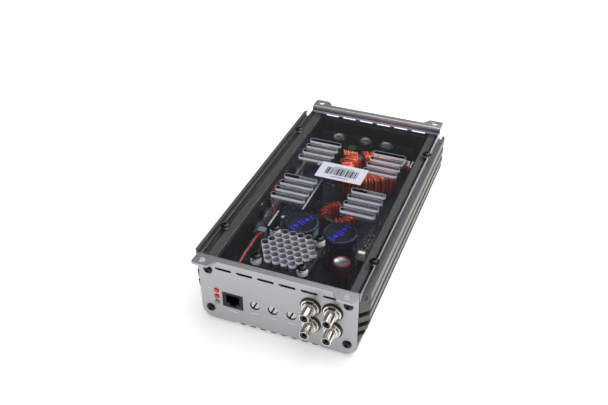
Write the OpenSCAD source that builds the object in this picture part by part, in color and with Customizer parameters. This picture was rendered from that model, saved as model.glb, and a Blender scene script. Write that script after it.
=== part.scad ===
// Car amplifier, lying with its clear base cover up and its finned heatsink down.
// Millimetres. The origin is the centre of the foot of the heatsink fins and +Z is up.
// The signal end panel faces -Y, and the power and speaker end panel faces +Y.

/* [Heatsink case] */
// Length of the heatsink extrusion, between the end panels
case_len = 260; // [258:1:262]
// Width across the outermost side fins
case_w = 150; // [149:0.5:152]
// Height of the side lips, flush with the top of the clear cover
case_h = 64.3; // [64:0.1:65]
// Depth of the lengthwise fins under the floor
foot_fin_h = 5; // [3:0.5:6]
// Distance between neighbouring foot fins
foot_fin_pitch = 9.2; // [8:0.1:10]

/* [End panels] */
// Width of both bent end panels
panel_w = 136.4; // [136:0.1:137]
// Thickness of the bent sheet
sheet_t = 2; // [1.8:0.1:2.2]
// Height of the mounting flange above the ground
flange_h = 68.8; // [68.4:0.1:70]
// How far the flange reaches past the panel face
flange_reach = 5; // [4.5:0.1:6]
// How far the ears reach past the panel face
ear_reach = 12.2; // [11.5:0.1:13]
// Diameter of the four mounting holes
ear_hole_d = 6; // [5:0.1:6.4]
// Sideways distance between the mounting holes
ear_hole_span = 121.8; // [118:0.1:123]

/* [Clear cover] */
// Thickness of the clear sheet
cover_t = 6; // [5:0.1:6]
// Width of the clear sheet
cover_w = 136.4; // [136:0.1:138]
// Length of each air slot
vent_len = 32; // [28:0.5:34]
// Width of each air slot
vent_w = 5; // [4:0.1:6]
// Distance between neighbouring air slots
vent_pitch = 10.6; // [9:0.1:12]

/* [Fan] */
// Width of the square fan frame
fan_size = 50; // [50:0.5:51]
// Depth of the fan frame
fan_depth = 10; // [10:0.1:12]
// Distance between the fan screws
fan_screw_span = 40; // [38:0.1:42]
// Place of the fan's axis across and along the case
fan_at = [-5, -94];
// Height of the nylon spacers between the fan and the cover
spacer_h = 3; // [2:0.1:10]

/* [Signal sockets and controls] */
// Diameter of a phono socket's shell
phono_d = 8.3; // [8.2:0.05:8.4]
// How far the phono sockets stand out of the panel
phono_reach = 15; // [14.6:0.1:16]
// Diameter of the panel hole in front of each trimmer
trimmer_hole_d = 8.7; // [8:0.1:9]
// Slot angle of the trimmers at rest, clockwise from upright
trimmer_angle = 25; // [0:5:90]

/* [Wire terminals] */
// Bore of the two battery wire terminals
battery_bore_d = 9; // [8:0.1:9.5]
// Bore of the two speaker wire terminals
speaker_bore_d = 6; // [5:0.1:6.5]
// Bore of the remote turn-on wire terminal
remote_bore_d = 3; // [3:0.1:4]

/* [Inside] */
// Diameter of the two large reservoir capacitors
reservoir_d = 31; // [30:0.5:31]
// Outer diameter of the wound power transformer
transformer_d = 58; // [54:1:58]
// Outer diameter of the wound output choke
choke_d = 37; // [34:1:37]

/* [Hidden] */
$fn = 48;

// A gap that keeps neighbouring pieces apart
gap = 0.1;
// A cut that runs past a face
past = 1;

// Planes along the case, front ones negative
end_y = case_len / 2;
face_y = end_y + sheet_t;
cover_bottom = case_h - cover_t;

// Case section
floor_top = foot_fin_h + 4;
wall_in = 62.5;
ledge_in = 58.2;
ledge_t = 4;
screw_slot = [64.35, 67.8];
screw_slot_depth = 10;
lip_t = 2;
hook = [0.8, 0.9];
fin_root = 67;
fin_grooves = [44.5, 34.3, 25.5, 16.8];
fin_groove_w = 4.6;
bulge_r = 34;
bulge_z = 37;
corner_r = 11;
shoulder_groove = [75.6, 54.3, 2.6];
fin_bevel = case_w / 2 - panel_w / 2;

// End panel screws
panel_screw_x = 60.1;
panel_screw_z = [12.5, 53.6];
panel_screw_len = 12;
panel_screw_r = 1.9;
panel_screw_head = [4, 2.4];
boss_r = 4;

// End panel outline
panel_foot = 3.2;
lobe_foot = 1.6;
lobe_x = [40, 58];
lobe_slope = 4;
air_slot_x = [-46.25, -27.75, -9.25, 9.25, 27.75, 46.25];
air_slot = [14.4, 2.4];
air_slot_z = 57;
ear_hole_out = 6.7;
ear_in = 54.2;
ear_slant_in = 49.2;
ear_corner = 2;

// Cover screws
cover_screw = [65.9, 86];
cover_screw_r = 1.5;
cover_screw_head = [4.3, 2.2];
vent_centre_x = 32.7;
vent_group_y = [56.4, -11.6];
vents_in_group = 4;
fan_hole_d = 6;
fan_hole_pitch = 7;
fan_hole_rings = 3;
label_size = [44.8, 26, 0.15];
label_at = [0, 25.5];

// Fan
fan_top = cover_bottom - spacer_h;
fan_bottom = fan_top - fan_depth;
fan_bore_r = 23.2;
fan_hub_r = 11;
fan_blade_r = 22.4;
fan_blades = 7;
fan_blade_t = 1.2;
fan_blade_tilt = 38;
fan_motor_r = 9.5;
fan_plate_t = 1.4;
fan_strut_w = 3;
fan_shaft_r = 1.5;
running_gap = 0.05;
fan_screw_r = 2;
fan_screw_head = [4.5, 2.2];
spacer_r = 4.5;
fan_nut = [4, 3];

// Boards
board_t = 1.6;
board_z = 13;
board_top = board_z + board_t;
board_half = [55.5, 124];
standoff_at = [for (x = [-50, 50], y = [-104, 0, 100]) [x, y]];
standoff_r = 3;
board_screw_r = 1.4;
driver_x = -19.5;
driver_y = [-27, 24];
control_x = -38.6;
control_y = [-60, -36];
upright_top = 50;

// Capacitors, coils
reservoir_at = [[-12.5, -44.5], [23.6, -46.1]];
reservoir_top = 50;
input_cap_at = [34.5, -74.5];
small_cap_r = 8;
input_cap_top = 43;
output_cap_at = [[-33, 114.6], [-4.7, 116.4], [17.7, 115.6]];
output_cap_top = 44;
transformer_at = [11, 76];
transformer_h = 28;
choke_at = [4, 8.5];
choke_h = 16;
wire_t = 3;
coil_at = [-20, 97];
coil_r = 5;
coil_h = 14;
film_cap_at = [-19.8, 119.5];
film_cap_size = [8.6, 8, 16];

// Transistors
transistor_size = [4.4, 10, 15];
transistor_z = 20;
transistor_pitch = 20;
transistors_a_side = 8;
transistor_first_y = -40;
pad_t = 0.4;
leg_pitch = 2.54;
leg_w = 1;
leg_t = 0.6;
clamp_size = [3, 158, 6];

// Phono sockets
phono_x = [29, 47.4];
phono_z = [24.6, 42.8];
phono_bore_r = 3.3;
phono_washer = [8.8, 1];
phono_nut_flange = [7.75, 1.2];
phono_nut_hex = [6.6, 2.4];
phono_neck_r = 3.8;
phono_pin_r = 1.6;
phono_tail = 12;
phono_rib = [4.8, 5.8];
phono_rib_h = 0.7;
phono_rim = 0.4;
phono_contact_len = 20;

// Data jack
jack_x = [-48.7, -30];
jack_z = [17.9, 33.6];
jack_depth = 16;
jack_cavity = [12, 8.6, 13];
jack_notch = [6, 2.6];
jack_contacts = 8;
jack_contact_pitch = 1.02;

// Trimmers
trimmer_x = [-19.4, -3.6, 12.5];
trimmer_z = 27.1;
trimmer_body = [9.6, 7.4, 9.6];
trimmer_r = 3.9;
trimmer_front = 131.2;
trimmer_len = 5;
trimmer_slot = [1.3, 6.2, 1.2];

// Status lights
led_x = -53.7;
led_z = [33.3, 26.7, 20.5];
led_r = 2.4;
led_reach = 1.4;

// Wire terminals: centres across, the height of the bores and the blocks
terminal_reach = phono_reach;
terminal_z = 30;
battery_x = [-46, -28];
remote_x = -13.5;
speaker_x = [20, 36];
insert_depth = 19;
insert_wall = 2.6;
block_wall = 2;
set_screw_r = [3, 2, 1.5];

// Routes of the fan wires, laid along the left side of the fan
wire_r = 0.75;
red_route = [
    [-41.5, -66.6, 46], [-41.5, -69.5, 46.4], [-41.2, -74, 49.2], [-40.2, -80, 51.5],
    [-39.4, -92, 52.5],
    [-39.2, -105, 53], [-38, -117, 53.4], [-34.5, -124.5, 53.6], [-30.5, -126.4, 52.6],
    [-27, -124.5, 51.5], [-26, -121.5, 50], [-26, -119.6, 49.5]
];
black_route = [
    [-43.5, -66.6, 46], [-43.5, -69.5, 46.3], [-43.4, -74, 47.8], [-43.2, -80, 49],
    [-42.4, -92, 49.5],
    [-42, -105, 49.5], [-40.8, -117, 49], [-37, -123.6, 48.6], [-32.6, -125.4, 48.4],
    [-29.6, -124, 48.2], [-28.6, -121.5, 48.1], [-28.6, -119.6, 48]
];

// ---------- helpers ----------

// A bar along Y from y0 to y1, round, with its axis at x and z
module bar_y(x, z, y0, y1, r) {
    translate([x, y0, z]) rotate([-90, 0, 0]) cylinder(h = y1 - y0, r = r);
}

// A box between two corners
module block(low, high) {
    translate(low) cube(high - low);
}

// A section in X and Z, drawn along the case from y0 to y1
module along_case(y0, y1) {
    translate([0, y1, 0]) rotate([90, 0, 0]) linear_extrude(y1 - y0) children();
}

// The same shape at both sides
module both_sides() {
    children();
    mirror([1, 0, 0]) children();
}

// The same shape at both ends
module both_ends() {
    children();
    mirror([0, 1, 0]) children();
}

// A stadium, length along X
module stadium(length, width) {
    square([length - width, width], center = true);
    for (s = [-1, 1]) translate([s * (length - width) / 2, 0]) circle(d = width);
}

// A button head screw pointing down, the head's seat at the origin
module button_screw(head, shank_r, length, key) {
    difference() {
        union() {
            translate([0, 0, -length]) cylinder(h = length, r = shank_r);
            rotate_extrude() intersection() {
                translate([0, head[1] - head[0] * 1.25]) circle(r = head[0] * 1.25);
                square([head[0], head[1]]);
            }
        }
        translate([0, 0, head[1] * 0.35]) cylinder(h = head[1], r = key, $fn = 6);
    }
}

// A point a fraction t of the way from b to c on a smooth curve through a, b, c and d
function smooth_point(a, b, c, d, t) =
    0.5 * (2 * b + (c - a) * t + (2 * a - 5 * b + 4 * c - d) * t * t
           + (3 * b - a - 3 * c + d) * t * t * t);

// A smooth curve through the route's points, with the given steps a stretch
function smooth_route(p, steps) = concat(
    [for (i = [0 : len(p) - 2], k = [0 : steps - 1])
        smooth_point(p[max(i - 1, 0)], p[i], p[i + 1], p[min(i + 2, len(p) - 1)], k / steps)],
    [p[len(p) - 1]]
);

function unit(v) = v / norm(v);

// A wire of radius r swept along a route
module wire(route, r, sides = 8) {
    path = smooth_route(route, 4);
    last = len(path) - 1;
    rings = [for (i = [0 : last])
        let (
            ahead = unit(path[min(i + 1, last)] - path[max(i - 1, 0)]),
            across = unit(cross(ahead, [0.31, 0.17, 0.93])),
            up = cross(across, ahead)
        )
        for (k = [0 : sides - 1])
            path[i] + r * (cos(360 * k / sides) * across + sin(360 * k / sides) * up)];
    walls = [for (i = [0 : last - 1], k = [0 : sides - 1])
        let (n = (k + 1) % sides)
        [i * sides + k, i * sides + n, (i + 1) * sides + n, (i + 1) * sides + k]];
    first_cap = [for (k = [sides - 1 : -1 : 0]) k];
    last_cap = [for (k = [0 : sides - 1]) last * sides + k];
    polyhedron(points = rings, faces = concat(walls, [first_cap, last_cap]));
}

// ---------- case ----------

// Outer outline of the case, without its grooves
module case_outline() {
    corner = panel_w / 2 - corner_r;
    translate([-panel_w / 2, corner_r]) square([panel_w, cover_bottom - corner_r]);
    translate([-corner, 0]) square([2 * corner, corner_r + past]);
    for (s = [-1, 1]) {
        translate([s * corner, corner_r]) circle(r = corner_r);
        intersection() {
            translate([s * (case_w / 2 - bulge_r), bulge_z]) circle(r = bulge_r, $fn = 96);
            translate([s * case_w / 4, (bulge_z + corner_r) / 2])
                square([case_w / 2, bulge_z - corner_r + 2 * past], center = true);
        }
        translate([s > 0 ? wall_in : -case_w / 2, bulge_z])
            square([case_w / 2 - wall_in, cover_bottom - bulge_z]);
        translate([s > 0 ? case_w / 2 - lip_t : -case_w / 2, bulge_z])
            square([lip_t, case_h - bulge_z]);
        translate([s > 0 ? case_w / 2 - lip_t - hook[0] : -case_w / 2 + lip_t - past,
                   case_h - hook[1]])
            square([hook[0] + past, hook[1]]);
    }
}

// Everything that the section leaves open
module case_hollows() {
    translate([-wall_in, floor_top]) square([2 * wall_in, cover_bottom - ledge_t - floor_top]);
    translate([-ledge_in, floor_top]) square([2 * ledge_in, case_h]);
    for (s = [0, 1]) mirror([s, 0]) {
        translate([screw_slot[0], cover_bottom - screw_slot_depth])
            square([screw_slot[1] - screw_slot[0], case_h]);
        for (z = fin_grooves)
            translate([fin_root, z - fin_groove_w / 2]) square([case_w, fin_groove_w]);
        translate([shoulder_groove[0], shoulder_groove[1]]) circle(r = shoulder_groove[2]);
    }
    fins = floor(panel_w / 2 / foot_fin_pitch) - 1;
    for (i = [-fins : fins])
        translate([i * foot_fin_pitch - foot_fin_pitch / 4, -past])
            square([foot_fin_pitch / 2, foot_fin_h + past]);
}

// Corner bosses that take the end panel screws
module case_bosses() {
    for (s = [-1, 1], z = panel_screw_z) translate([s * panel_screw_x, z]) circle(r = boss_r);
}

// Cuts the ends of the side fins back to the panel's edge
module fin_bevels() {
    both_sides() both_ends()
        translate([0, 0, -past]) linear_extrude(case_h + 2 * past)
            polygon([
                [panel_w / 2, end_y + past],
                [panel_w / 2, end_y],
                [case_w / 2 + past, end_y - fin_bevel - past],
                [case_w / 2 + past, end_y + past]
            ]);
}

module heatsink_case() {
    color([0.29, 0.29, 0.28]) difference() {
        along_case(-end_y, end_y) difference() {
            union() {
                difference() {
                    case_outline();
                    case_hollows();
                }
                case_bosses();
            }
            for (s = [-1, 1], z = panel_screw_z)
                translate([s * panel_screw_x, z]) circle(r = panel_screw_r);
        }
        fin_bevels();
    }
}

// ---------- end panels ----------

// Flat outline of an end panel in X and Z, up to the underside of its bend
module panel_outline() {
    corner = panel_w / 2 - corner_r;
    difference() {
        union() {
            translate([-panel_w / 2, corner_r + lobe_foot])
                square([panel_w, flange_h - corner_r - lobe_foot - sheet_t]);
            for (s = [-1, 1]) translate([s * corner, corner_r + lobe_foot]) circle(r = corner_r);
            polygon([
                [-corner, lobe_foot], [-lobe_x[0], lobe_foot],
                [-lobe_x[0] + lobe_slope, panel_foot], [lobe_x[0] - lobe_slope, panel_foot],
                [lobe_x[0], lobe_foot], [corner, lobe_foot],
                [corner, corner_r + lobe_foot + past], [-corner, corner_r + lobe_foot + past]
            ]);
        }
        for (x = air_slot_x) translate([x, air_slot_z]) stadium(air_slot[0], air_slot[1]);
        for (s = [-1, 1], z = panel_screw_z)
            translate([s * panel_screw_x, z]) circle(r = panel_screw_r + gap);
    }
}

// Flange with its two ears, seen from above, for the panel that faces -Y
module flange_outline() {
    half = panel_w / 2;
    difference() {
        union() {
            polygon([
                [-half, -face_y], [-half, -face_y - ear_reach + ear_corner],
                [-half + ear_corner, -face_y - ear_reach],
                [-ear_in, -face_y - ear_reach], [-ear_slant_in, -face_y - flange_reach],
                [ear_slant_in, -face_y - flange_reach], [ear_in, -face_y - ear_reach],
                [half - ear_corner, -face_y - ear_reach],
                [half, -face_y - ear_reach + ear_corner], [half, -face_y]
            ]);
            for (s = [-1, 1])
                translate([s * (half - ear_corner), -face_y - ear_reach + ear_corner])
                    circle(r = ear_corner);
        }
        for (s = [-1, 1])
            translate([s * ear_hole_span / 2, -face_y - ear_hole_out])
                circle(d = ear_hole_d);
    }
}

// A bent end panel facing -Y, less the openings given as its children
module end_panel() {
    difference() {
        union() {
            along_case(-face_y, -end_y) panel_outline();
            translate([0, 0, flange_h - sheet_t]) linear_extrude(sheet_t) flange_outline();
            // quarter round of the bend
            translate([-panel_w / 2, -face_y, flange_h - sheet_t]) rotate([90, 0, 90])
                linear_extrude(panel_w) intersection() {
                    circle(r = sheet_t);
                    square(sheet_t);
                }
        }
        children();
    }
}

module front_end_panel() {
    color([0.78, 0.78, 0.79]) end_panel() {
        block([jack_x[0], -face_y - past, jack_z[0]], [jack_x[1], -end_y + past, jack_z[1]]);
        for (x = trimmer_x)
            bar_y(x, trimmer_z, -face_y - past, -end_y + past, trimmer_hole_d / 2);
        for (x = phono_x, z = phono_z)
            bar_y(x, z, -face_y - past, -end_y + past, phono_neck_r + 2 * gap);
        for (z = led_z)
            bar_y(led_x, z, -face_y - past, -end_y + past, led_r + gap);
    }
}

module rear_end_panel() {
    margin = [gap, gap, gap];
    color([0.78, 0.78, 0.79]) mirror([0, 1, 0]) end_panel() mirror([0, 1, 0]) {
        block(battery_low() - margin, battery_high() + margin);
        block(speaker_low() - margin, speaker_high() + margin);
    }
}

// ---------- cover ----------

module air_vents() {
    for (s = [-1, 1], first = vent_group_y, i = [0 : vents_in_group - 1])
        translate([s * vent_centre_x, first + (i - (vents_in_group - 1) / 2) * vent_pitch])
            stadium(vent_len, vent_w);
}

// Hexagon of round holes over the fan, in rows along X
module fan_holes() {
    row_step = fan_hole_pitch * sin(60);
    for (row = [-fan_hole_rings : fan_hole_rings]) {
        count = 2 * fan_hole_rings + 1 - abs(row);
        for (i = [0 : count - 1])
            translate(fan_at + [(i - (count - 1) / 2) * fan_hole_pitch, row * row_step])
                circle(d = fan_hole_d);
    }
}

module fan_screw_spots() {
    for (sx = [-1, 1], sy = [-1, 1])
        translate([fan_at[0] + sx * fan_screw_span / 2, fan_at[1] + sy * fan_screw_span / 2])
            children();
}

module cover_screw_spots() {
    for (sx = [-1, 1], sy = [-1, 1])
        translate([sx * cover_screw[0], sy * cover_screw[1]]) children();
}

module clear_cover() {
    color([0.75, 0.8, 0.85, 0.35])
        translate([0, 0, cover_bottom]) linear_extrude(cover_t) difference() {
            square([cover_w, case_len - 2 * gap], center = true);
            air_vents();
            fan_holes();
            fan_screw_spots() circle(r = fan_screw_r + gap);
            cover_screw_spots() circle(r = cover_screw_r + gap);
        }
}

module cover_label() {
    color([0.9, 0.91, 0.95])
        translate([label_at[0], label_at[1], case_h + label_size[2] / 2])
            cube(label_size, center = true);
}

// ---------- fasteners of the case ----------

module end_panel_screws() {
    color([0.06, 0.06, 0.07]) both_sides() both_ends()
        for (z = panel_screw_z)
            translate([panel_screw_x, face_y, z]) rotate([-90, 0, 0])
                button_screw(panel_screw_head, panel_screw_r - gap, panel_screw_len, 1.6);
}

module cover_screws() {
    color([0.06, 0.06, 0.07]) cover_screw_spots()
        translate([0, 0, case_h])
            button_screw(cover_screw_head, cover_screw_r, cover_t + 8, 1.6);
}

// ---------- fan ----------

module fan_frame() {
    half = fan_size / 2;
    color([0.05, 0.05, 0.06]) translate([fan_at[0], fan_at[1], fan_bottom]) difference() {
        union() {
            difference() {
                linear_extrude(fan_depth) difference() {
                    offset_square(half, 4);
                    circle(r = fan_bore_r, $fn = 96);
                }
                // the flanges at the corners are thinner than the ring
                for (a = [45 : 90 : 315]) rotate(a)
                    translate([fan_bore_r + 1.6, -half / 2, 2.5])
                        cube([half, half, fan_depth - 5]);
            }
            for (a = [20 : 120 : 260]) rotate(a)
                translate([0, -fan_strut_w / 2, 0])
                    cube([fan_bore_r + 0.5, fan_strut_w, fan_plate_t]);
            cylinder(h = fan_plate_t, r = fan_motor_r);
            cylinder(h = fan_depth - 3, r = fan_shaft_r + 2);
        }
        for (sx = [-1, 1], sy = [-1, 1])
            translate([sx * fan_screw_span / 2, sy * fan_screw_span / 2, -past])
                cylinder(h = fan_depth + 2 * past, r = fan_screw_r + gap);
        translate([0, 0, fan_plate_t]) cylinder(h = fan_depth, r = fan_shaft_r + running_gap);
    }
}

// A square of the given half width with rounded corners
module offset_square(half, r) {
    square([2 * half, 2 * (half - r)], center = true);
    square([2 * (half - r), 2 * half], center = true);
    for (sx = [-1, 1], sy = [-1, 1])
        translate([sx * (half - r), sy * (half - r)]) circle(r = r);
}

module fan_rotor() {
    blade_low = fan_plate_t + 0.8;
    blade_high = fan_depth - 0.8;
    color([0.07, 0.07, 0.08]) translate([fan_at[0], fan_at[1], fan_bottom]) {
        // hub cup over the motor
        difference() {
            translate([0, 0, blade_low])
                cylinder(h = blade_high - blade_low, r = fan_hub_r);
            translate([0, 0, blade_low - past])
                cylinder(h = blade_high - blade_low + past - 1.4, r = fan_hub_r - 1.2);
        }
        translate([0, 0, fan_plate_t + 0.4])
            cylinder(h = blade_high - fan_plate_t - 1, r = fan_shaft_r);
        intersection() {
            difference() {
                translate([0, 0, blade_low])
                    cylinder(h = blade_high - blade_low, r = fan_blade_r, $fn = 96);
                cylinder(h = fan_depth, r = fan_hub_r - 0.4);
            }
            for (i = [0 : fan_blades - 1]) rotate(i * 360 / fan_blades)
                translate([0, 0, fan_depth / 2 + 0.3]) rotate([fan_blade_tilt, 0, 0])
                    translate([fan_hub_r - 1, -fan_depth, -fan_blade_t / 2])
                        cube([fan_blade_r, 2 * fan_depth, fan_blade_t]);
        }
    }
}

module fan_screws() {
    color([0.06, 0.06, 0.07]) fan_screw_spots()
        translate([0, 0, case_h])
            button_screw(fan_screw_head, fan_screw_r, case_h - fan_bottom + fan_nut[1] + 1, 1.8);
}

module fan_nuts() {
    color([0.7, 0.7, 0.7]) fan_screw_spots()
        translate([0, 0, fan_bottom - fan_nut[1]]) difference() {
            cylinder(h = fan_nut[1], r = fan_nut[0], $fn = 6);
            translate([0, 0, -past])
                cylinder(h = fan_nut[1] + 2 * past, r = fan_screw_r + gap, $fn = 48);
        }
}

module fan_spacers() {
    color([0.87, 0.88, 0.84]) fan_screw_spots()
        translate([0, 0, fan_top]) difference() {
            cylinder(h = spacer_h, r = spacer_r);
            translate([0, 0, -past])
                cylinder(h = spacer_h + 2 * past, r = fan_screw_r + gap);
        }
}

module fan_wire_red() {
    color([0.75, 0.05, 0.06]) wire(red_route, wire_r);
}

module fan_wire_black() {
    color([0.03, 0.03, 0.03]) wire(black_route, wire_r);
}

// Two-pin plug on the top edge of the control board
module fan_plug() {
    color([0.3, 0.32, 0.36]) block([-45.5, -66.5, 41], [control_x, -60.1, 47.5]);
}

// ---------- boards and what stands on them ----------

module main_board() {
    color([0.08, 0.1, 0.22]) difference() {
        translate([0, 0, board_z + board_t / 2])
            cube([2 * board_half[0], 2 * board_half[1], board_t], center = true);
        for (p = standoff_at) translate([p[0], p[1], board_z - past])
            cylinder(h = board_t + 2 * past, r = board_screw_r + gap);
    }
}

module board_standoffs() {
    color([0.75, 0.6, 0.3]) for (p = standoff_at)
        translate([p[0], p[1], floor_top]) difference() {
            cylinder(h = board_z - floor_top, r = standoff_r * 1.15, $fn = 6);
            translate([0, 0, -past])
                cylinder(h = board_z, r = board_screw_r + gap, $fn = 48);
        }
}

module board_screws() {
    color([0.7, 0.7, 0.72]) for (p = standoff_at)
        translate([p[0], p[1], board_top])
            button_screw([2.8, 1.8], board_screw_r, board_t + 3, 1);
}

module driver_board() {
    color([0.1, 0.13, 0.26])
        block([driver_x, driver_y[0], board_top], [driver_x + board_t, driver_y[1], upright_top]);
}

module control_board() {
    color([0.1, 0.13, 0.26])
        block([control_x, control_y[0], board_top], [control_x + board_t, control_y[1], upright_top]);
}

module trimmer_board() {
    back = trimmer_body_back();
    color([0.08, 0.1, 0.22]) block([-27, back, board_top], [19, back + board_t, 34.5]);
}

// A can capacitor with a grooved top edge, standing on the board
module can_capacitor(at, r, top) {
    translate([at[0], at[1], board_top]) rotate_extrude($fn = 64)
        polygon([
            [0, 0], [r - 0.4, 0], [r, 0.4], [r, 3], [r - 0.6, 3.6], [r, 4.2],
            [r, top - board_top - 1], [r - 1, top - board_top], [r - 2.2, top - board_top],
            [r - 2.6, top - board_top - 0.5], [0, top - board_top - 0.5]
        ]);
}

module reservoir_capacitors() {
    color([0.07, 0.08, 0.25]) for (p = reservoir_at)
        can_capacitor(p, reservoir_d / 2, reservoir_top);
}

module input_capacitor() {
    color([0.3, 0.06, 0.08]) can_capacitor(input_cap_at, small_cap_r, input_cap_top);
}

module output_capacitors() {
    color([0.12, 0.12, 0.13]) for (p = output_cap_at)
        can_capacitor(p, small_cap_r, output_cap_top);
}

// A ring core of the given outer radius and height over its winding
module ring_core(at, r, h) {
    bore_r = r * 0.42;
    inset = wire_t + gap;
    translate([at[0], at[1], board_top + inset]) rotate_extrude($fn = 96)
        translate([bore_r + inset, 0]) square([r - bore_r - 2 * inset, h - 2 * inset]);
}

// The winding around a ring core: a closed skin one wire thick
module ring_winding(at, r, h) {
    bore_r = r * 0.42;
    translate([at[0], at[1], board_top]) rotate_extrude($fn = 96) difference() {
        translate([bore_r, 0]) square([r - bore_r, h]);
        translate([bore_r + wire_t, wire_t]) square([r - bore_r - 2 * wire_t, h - 2 * wire_t]);
    }
}

module transformer_core() {
    color([0.2, 0.22, 0.2]) ring_core(transformer_at, transformer_d / 2, transformer_h);
}

module transformer_winding() {
    color([0.75, 0.22, 0.1]) ring_winding(transformer_at, transformer_d / 2, transformer_h);
}

module choke_core() {
    color([0.1, 0.12, 0.1]) ring_core(choke_at, choke_d / 2, choke_h);
}

module choke_winding() {
    color([0.65, 0.1, 0.07]) ring_winding(choke_at, choke_d / 2, choke_h);
}

module filter_coil() {
    color([0.72, 0.33, 0.12]) translate([coil_at[0], coil_at[1], board_top]) difference() {
        cylinder(h = coil_h, r = coil_r);
        translate([0, 0, 1]) cylinder(h = coil_h, r = coil_r - 2);
    }
}

module film_capacitor() {
    color([0.33, 0.33, 0.25])
        translate([film_cap_at[0], film_cap_at[1], board_top + film_cap_size[2] / 2])
            cube(film_cap_size, center = true);
}

module board_connectors() {
    color([0.85, 0.85, 0.78]) {
        for (x = [38, 46]) difference() {
            block([x, 105, board_top], [x + 6, 116, 30]);
            block([x + 1, 106, board_top + 4], [x + 5, 115, 31]);
        }
        difference() {
            block([-50, 110, board_top], [-44, 118, 32]);
            block([-49, 111, board_top + 4], [-45, 117, 33]);
        }
    }
}

module surface_chips() {
    color([0.05, 0.05, 0.05]) {
        for (y = [-92, -70, -14, 40]) block([44, y, board_top], [52, y + 10, board_top + 2]);
        for (y = [-18, 2]) block([driver_x + board_t, y, 26], [driver_x + board_t + 2, y + 12, 34]);
        block([control_x + board_t, -54, 26], [control_x + board_t + 2, -42, 34]);
    }
}

// A row of flat power transistors on the right wall, with their legs in the board
module transistor_row() {
    face = wall_in - pad_t;
    bend_z = board_top + 2.2;
    foot_x = board_half[0] - 1.5;
    for (i = [0 : transistors_a_side - 1])
        translate([0, transistor_first_y + i * transistor_pitch, 0]) {
            block([face - transistor_size[0], -transistor_size[1] / 2, transistor_z],
                  [face, transistor_size[1] / 2, transistor_z + transistor_size[2]]);
            for (leg = [-leg_pitch, 0, leg_pitch]) translate([0, leg, 0]) {
                block([face - 2 - leg_t, -leg_w / 2, bend_z], [face - 2, leg_w / 2, transistor_z]);
                block([foot_x, -leg_w / 2, bend_z], [face - 2, leg_w / 2, bend_z + leg_t]);
                block([foot_x, -leg_w / 2, board_top], [foot_x + leg_t, leg_w / 2, bend_z + leg_t]);
            }
        }
}

module transistors_right() {
    color([0.06, 0.06, 0.06]) transistor_row();
}

module transistors_left() {
    color([0.06, 0.06, 0.06]) mirror([1, 0, 0]) transistor_row();
}

// A clamp bar that presses the transistors to the wall
module clamp_bar() {
    face = wall_in - pad_t - transistor_size[0];
    middle = transistor_first_y + (transistors_a_side - 1) * transistor_pitch / 2;
    translate([face - clamp_size[0] / 2, middle, transistor_z + transistor_size[2] / 2])
        cube(clamp_size, center = true);
}

module clamp_bar_right() {
    color([0.55, 0.56, 0.58]) clamp_bar();
}

module clamp_bar_left() {
    color([0.55, 0.56, 0.58]) mirror([1, 0, 0]) clamp_bar();
}

module thermal_pads() {
    last = transistor_first_y + (transistors_a_side - 1) * transistor_pitch;
    color([0.75, 0.75, 0.7]) both_sides()
        block([wall_in - pad_t, transistor_first_y - 8, transistor_z - 2],
              [wall_in, last + 8, transistor_z + transistor_size[2] + 2]);
}

// ---------- signal sockets ----------

module at_phonos() {
    for (x = phono_x, z = phono_z) translate([x, -face_y, z]) rotate([90, 0, 0]) children();
}

module phono_block() {
    margin = phono_nut_flange[0] + 0.4;
    color([0.06, 0.06, 0.07]) difference() {
        block([phono_x[0] - margin, -end_y + gap, board_top],
              [phono_x[1] + margin, -face_y + phono_tail + 2, phono_z[1] + margin]);
        at_phonos() translate([0, 0, -2 * phono_tail])
            cylinder(h = 4 * phono_tail, r = phono_neck_r + gap);
    }
}

// Sleeve of a phono socket: a neck through the panel, a rib and a barrel with an end rim
module phono_shells() {
    r = phono_d / 2;
    color([0.8, 0.78, 0.74]) at_phonos() rotate_extrude($fn = 64)
        polygon([
            [phono_bore_r, -phono_tail], [phono_neck_r, -phono_tail],
            [phono_neck_r, phono_rib[0]], [r + phono_rib_h, phono_rib[0]],
            [r + phono_rib_h, phono_rib[1]], [r, phono_rib[1]],
            [r, phono_reach - phono_rim], [r - phono_rim, phono_reach],
            [phono_bore_r, phono_reach]
        ]);
}

module phono_insulators() {
    color([0.05, 0.06, 0.09]) at_phonos() translate([0, 0, -phono_tail]) difference() {
        cylinder(h = phono_reach + phono_tail - 2 * phono_rim, r = phono_bore_r - gap);
        translate([0, 0, -past])
            cylinder(h = phono_reach + phono_tail + 2 * past, r = phono_pin_r);
    }
}

module phono_contacts() {
    color([0.8, 0.75, 0.6]) at_phonos() translate([0, 0, -phono_tail]) difference() {
        cylinder(h = phono_contact_len, r = phono_pin_r - gap / 2);
        translate([0, 0, phono_tail / 2])
            cylinder(h = phono_contact_len, r = phono_pin_r - 4 * gap);
    }
}

module phono_washers() {
    color([0.04, 0.04, 0.04]) at_phonos() difference() {
        cylinder(h = phono_washer[1], r = phono_washer[0]);
        translate([0, 0, -past]) cylinder(h = 4, r = phono_neck_r + gap);
    }
}

module phono_nuts() {
    color([0.8, 0.8, 0.8]) at_phonos() translate([0, 0, phono_washer[1]]) difference() {
        union() {
            cylinder(h = phono_nut_flange[1], r = phono_nut_flange[0]);
            cylinder(h = phono_nut_flange[1] + phono_nut_hex[1], r = phono_nut_hex[0], $fn = 6);
        }
        translate([0, 0, -past]) cylinder(h = 8, r = phono_neck_r + gap);
    }
}

// ---------- data jack ----------

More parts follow.
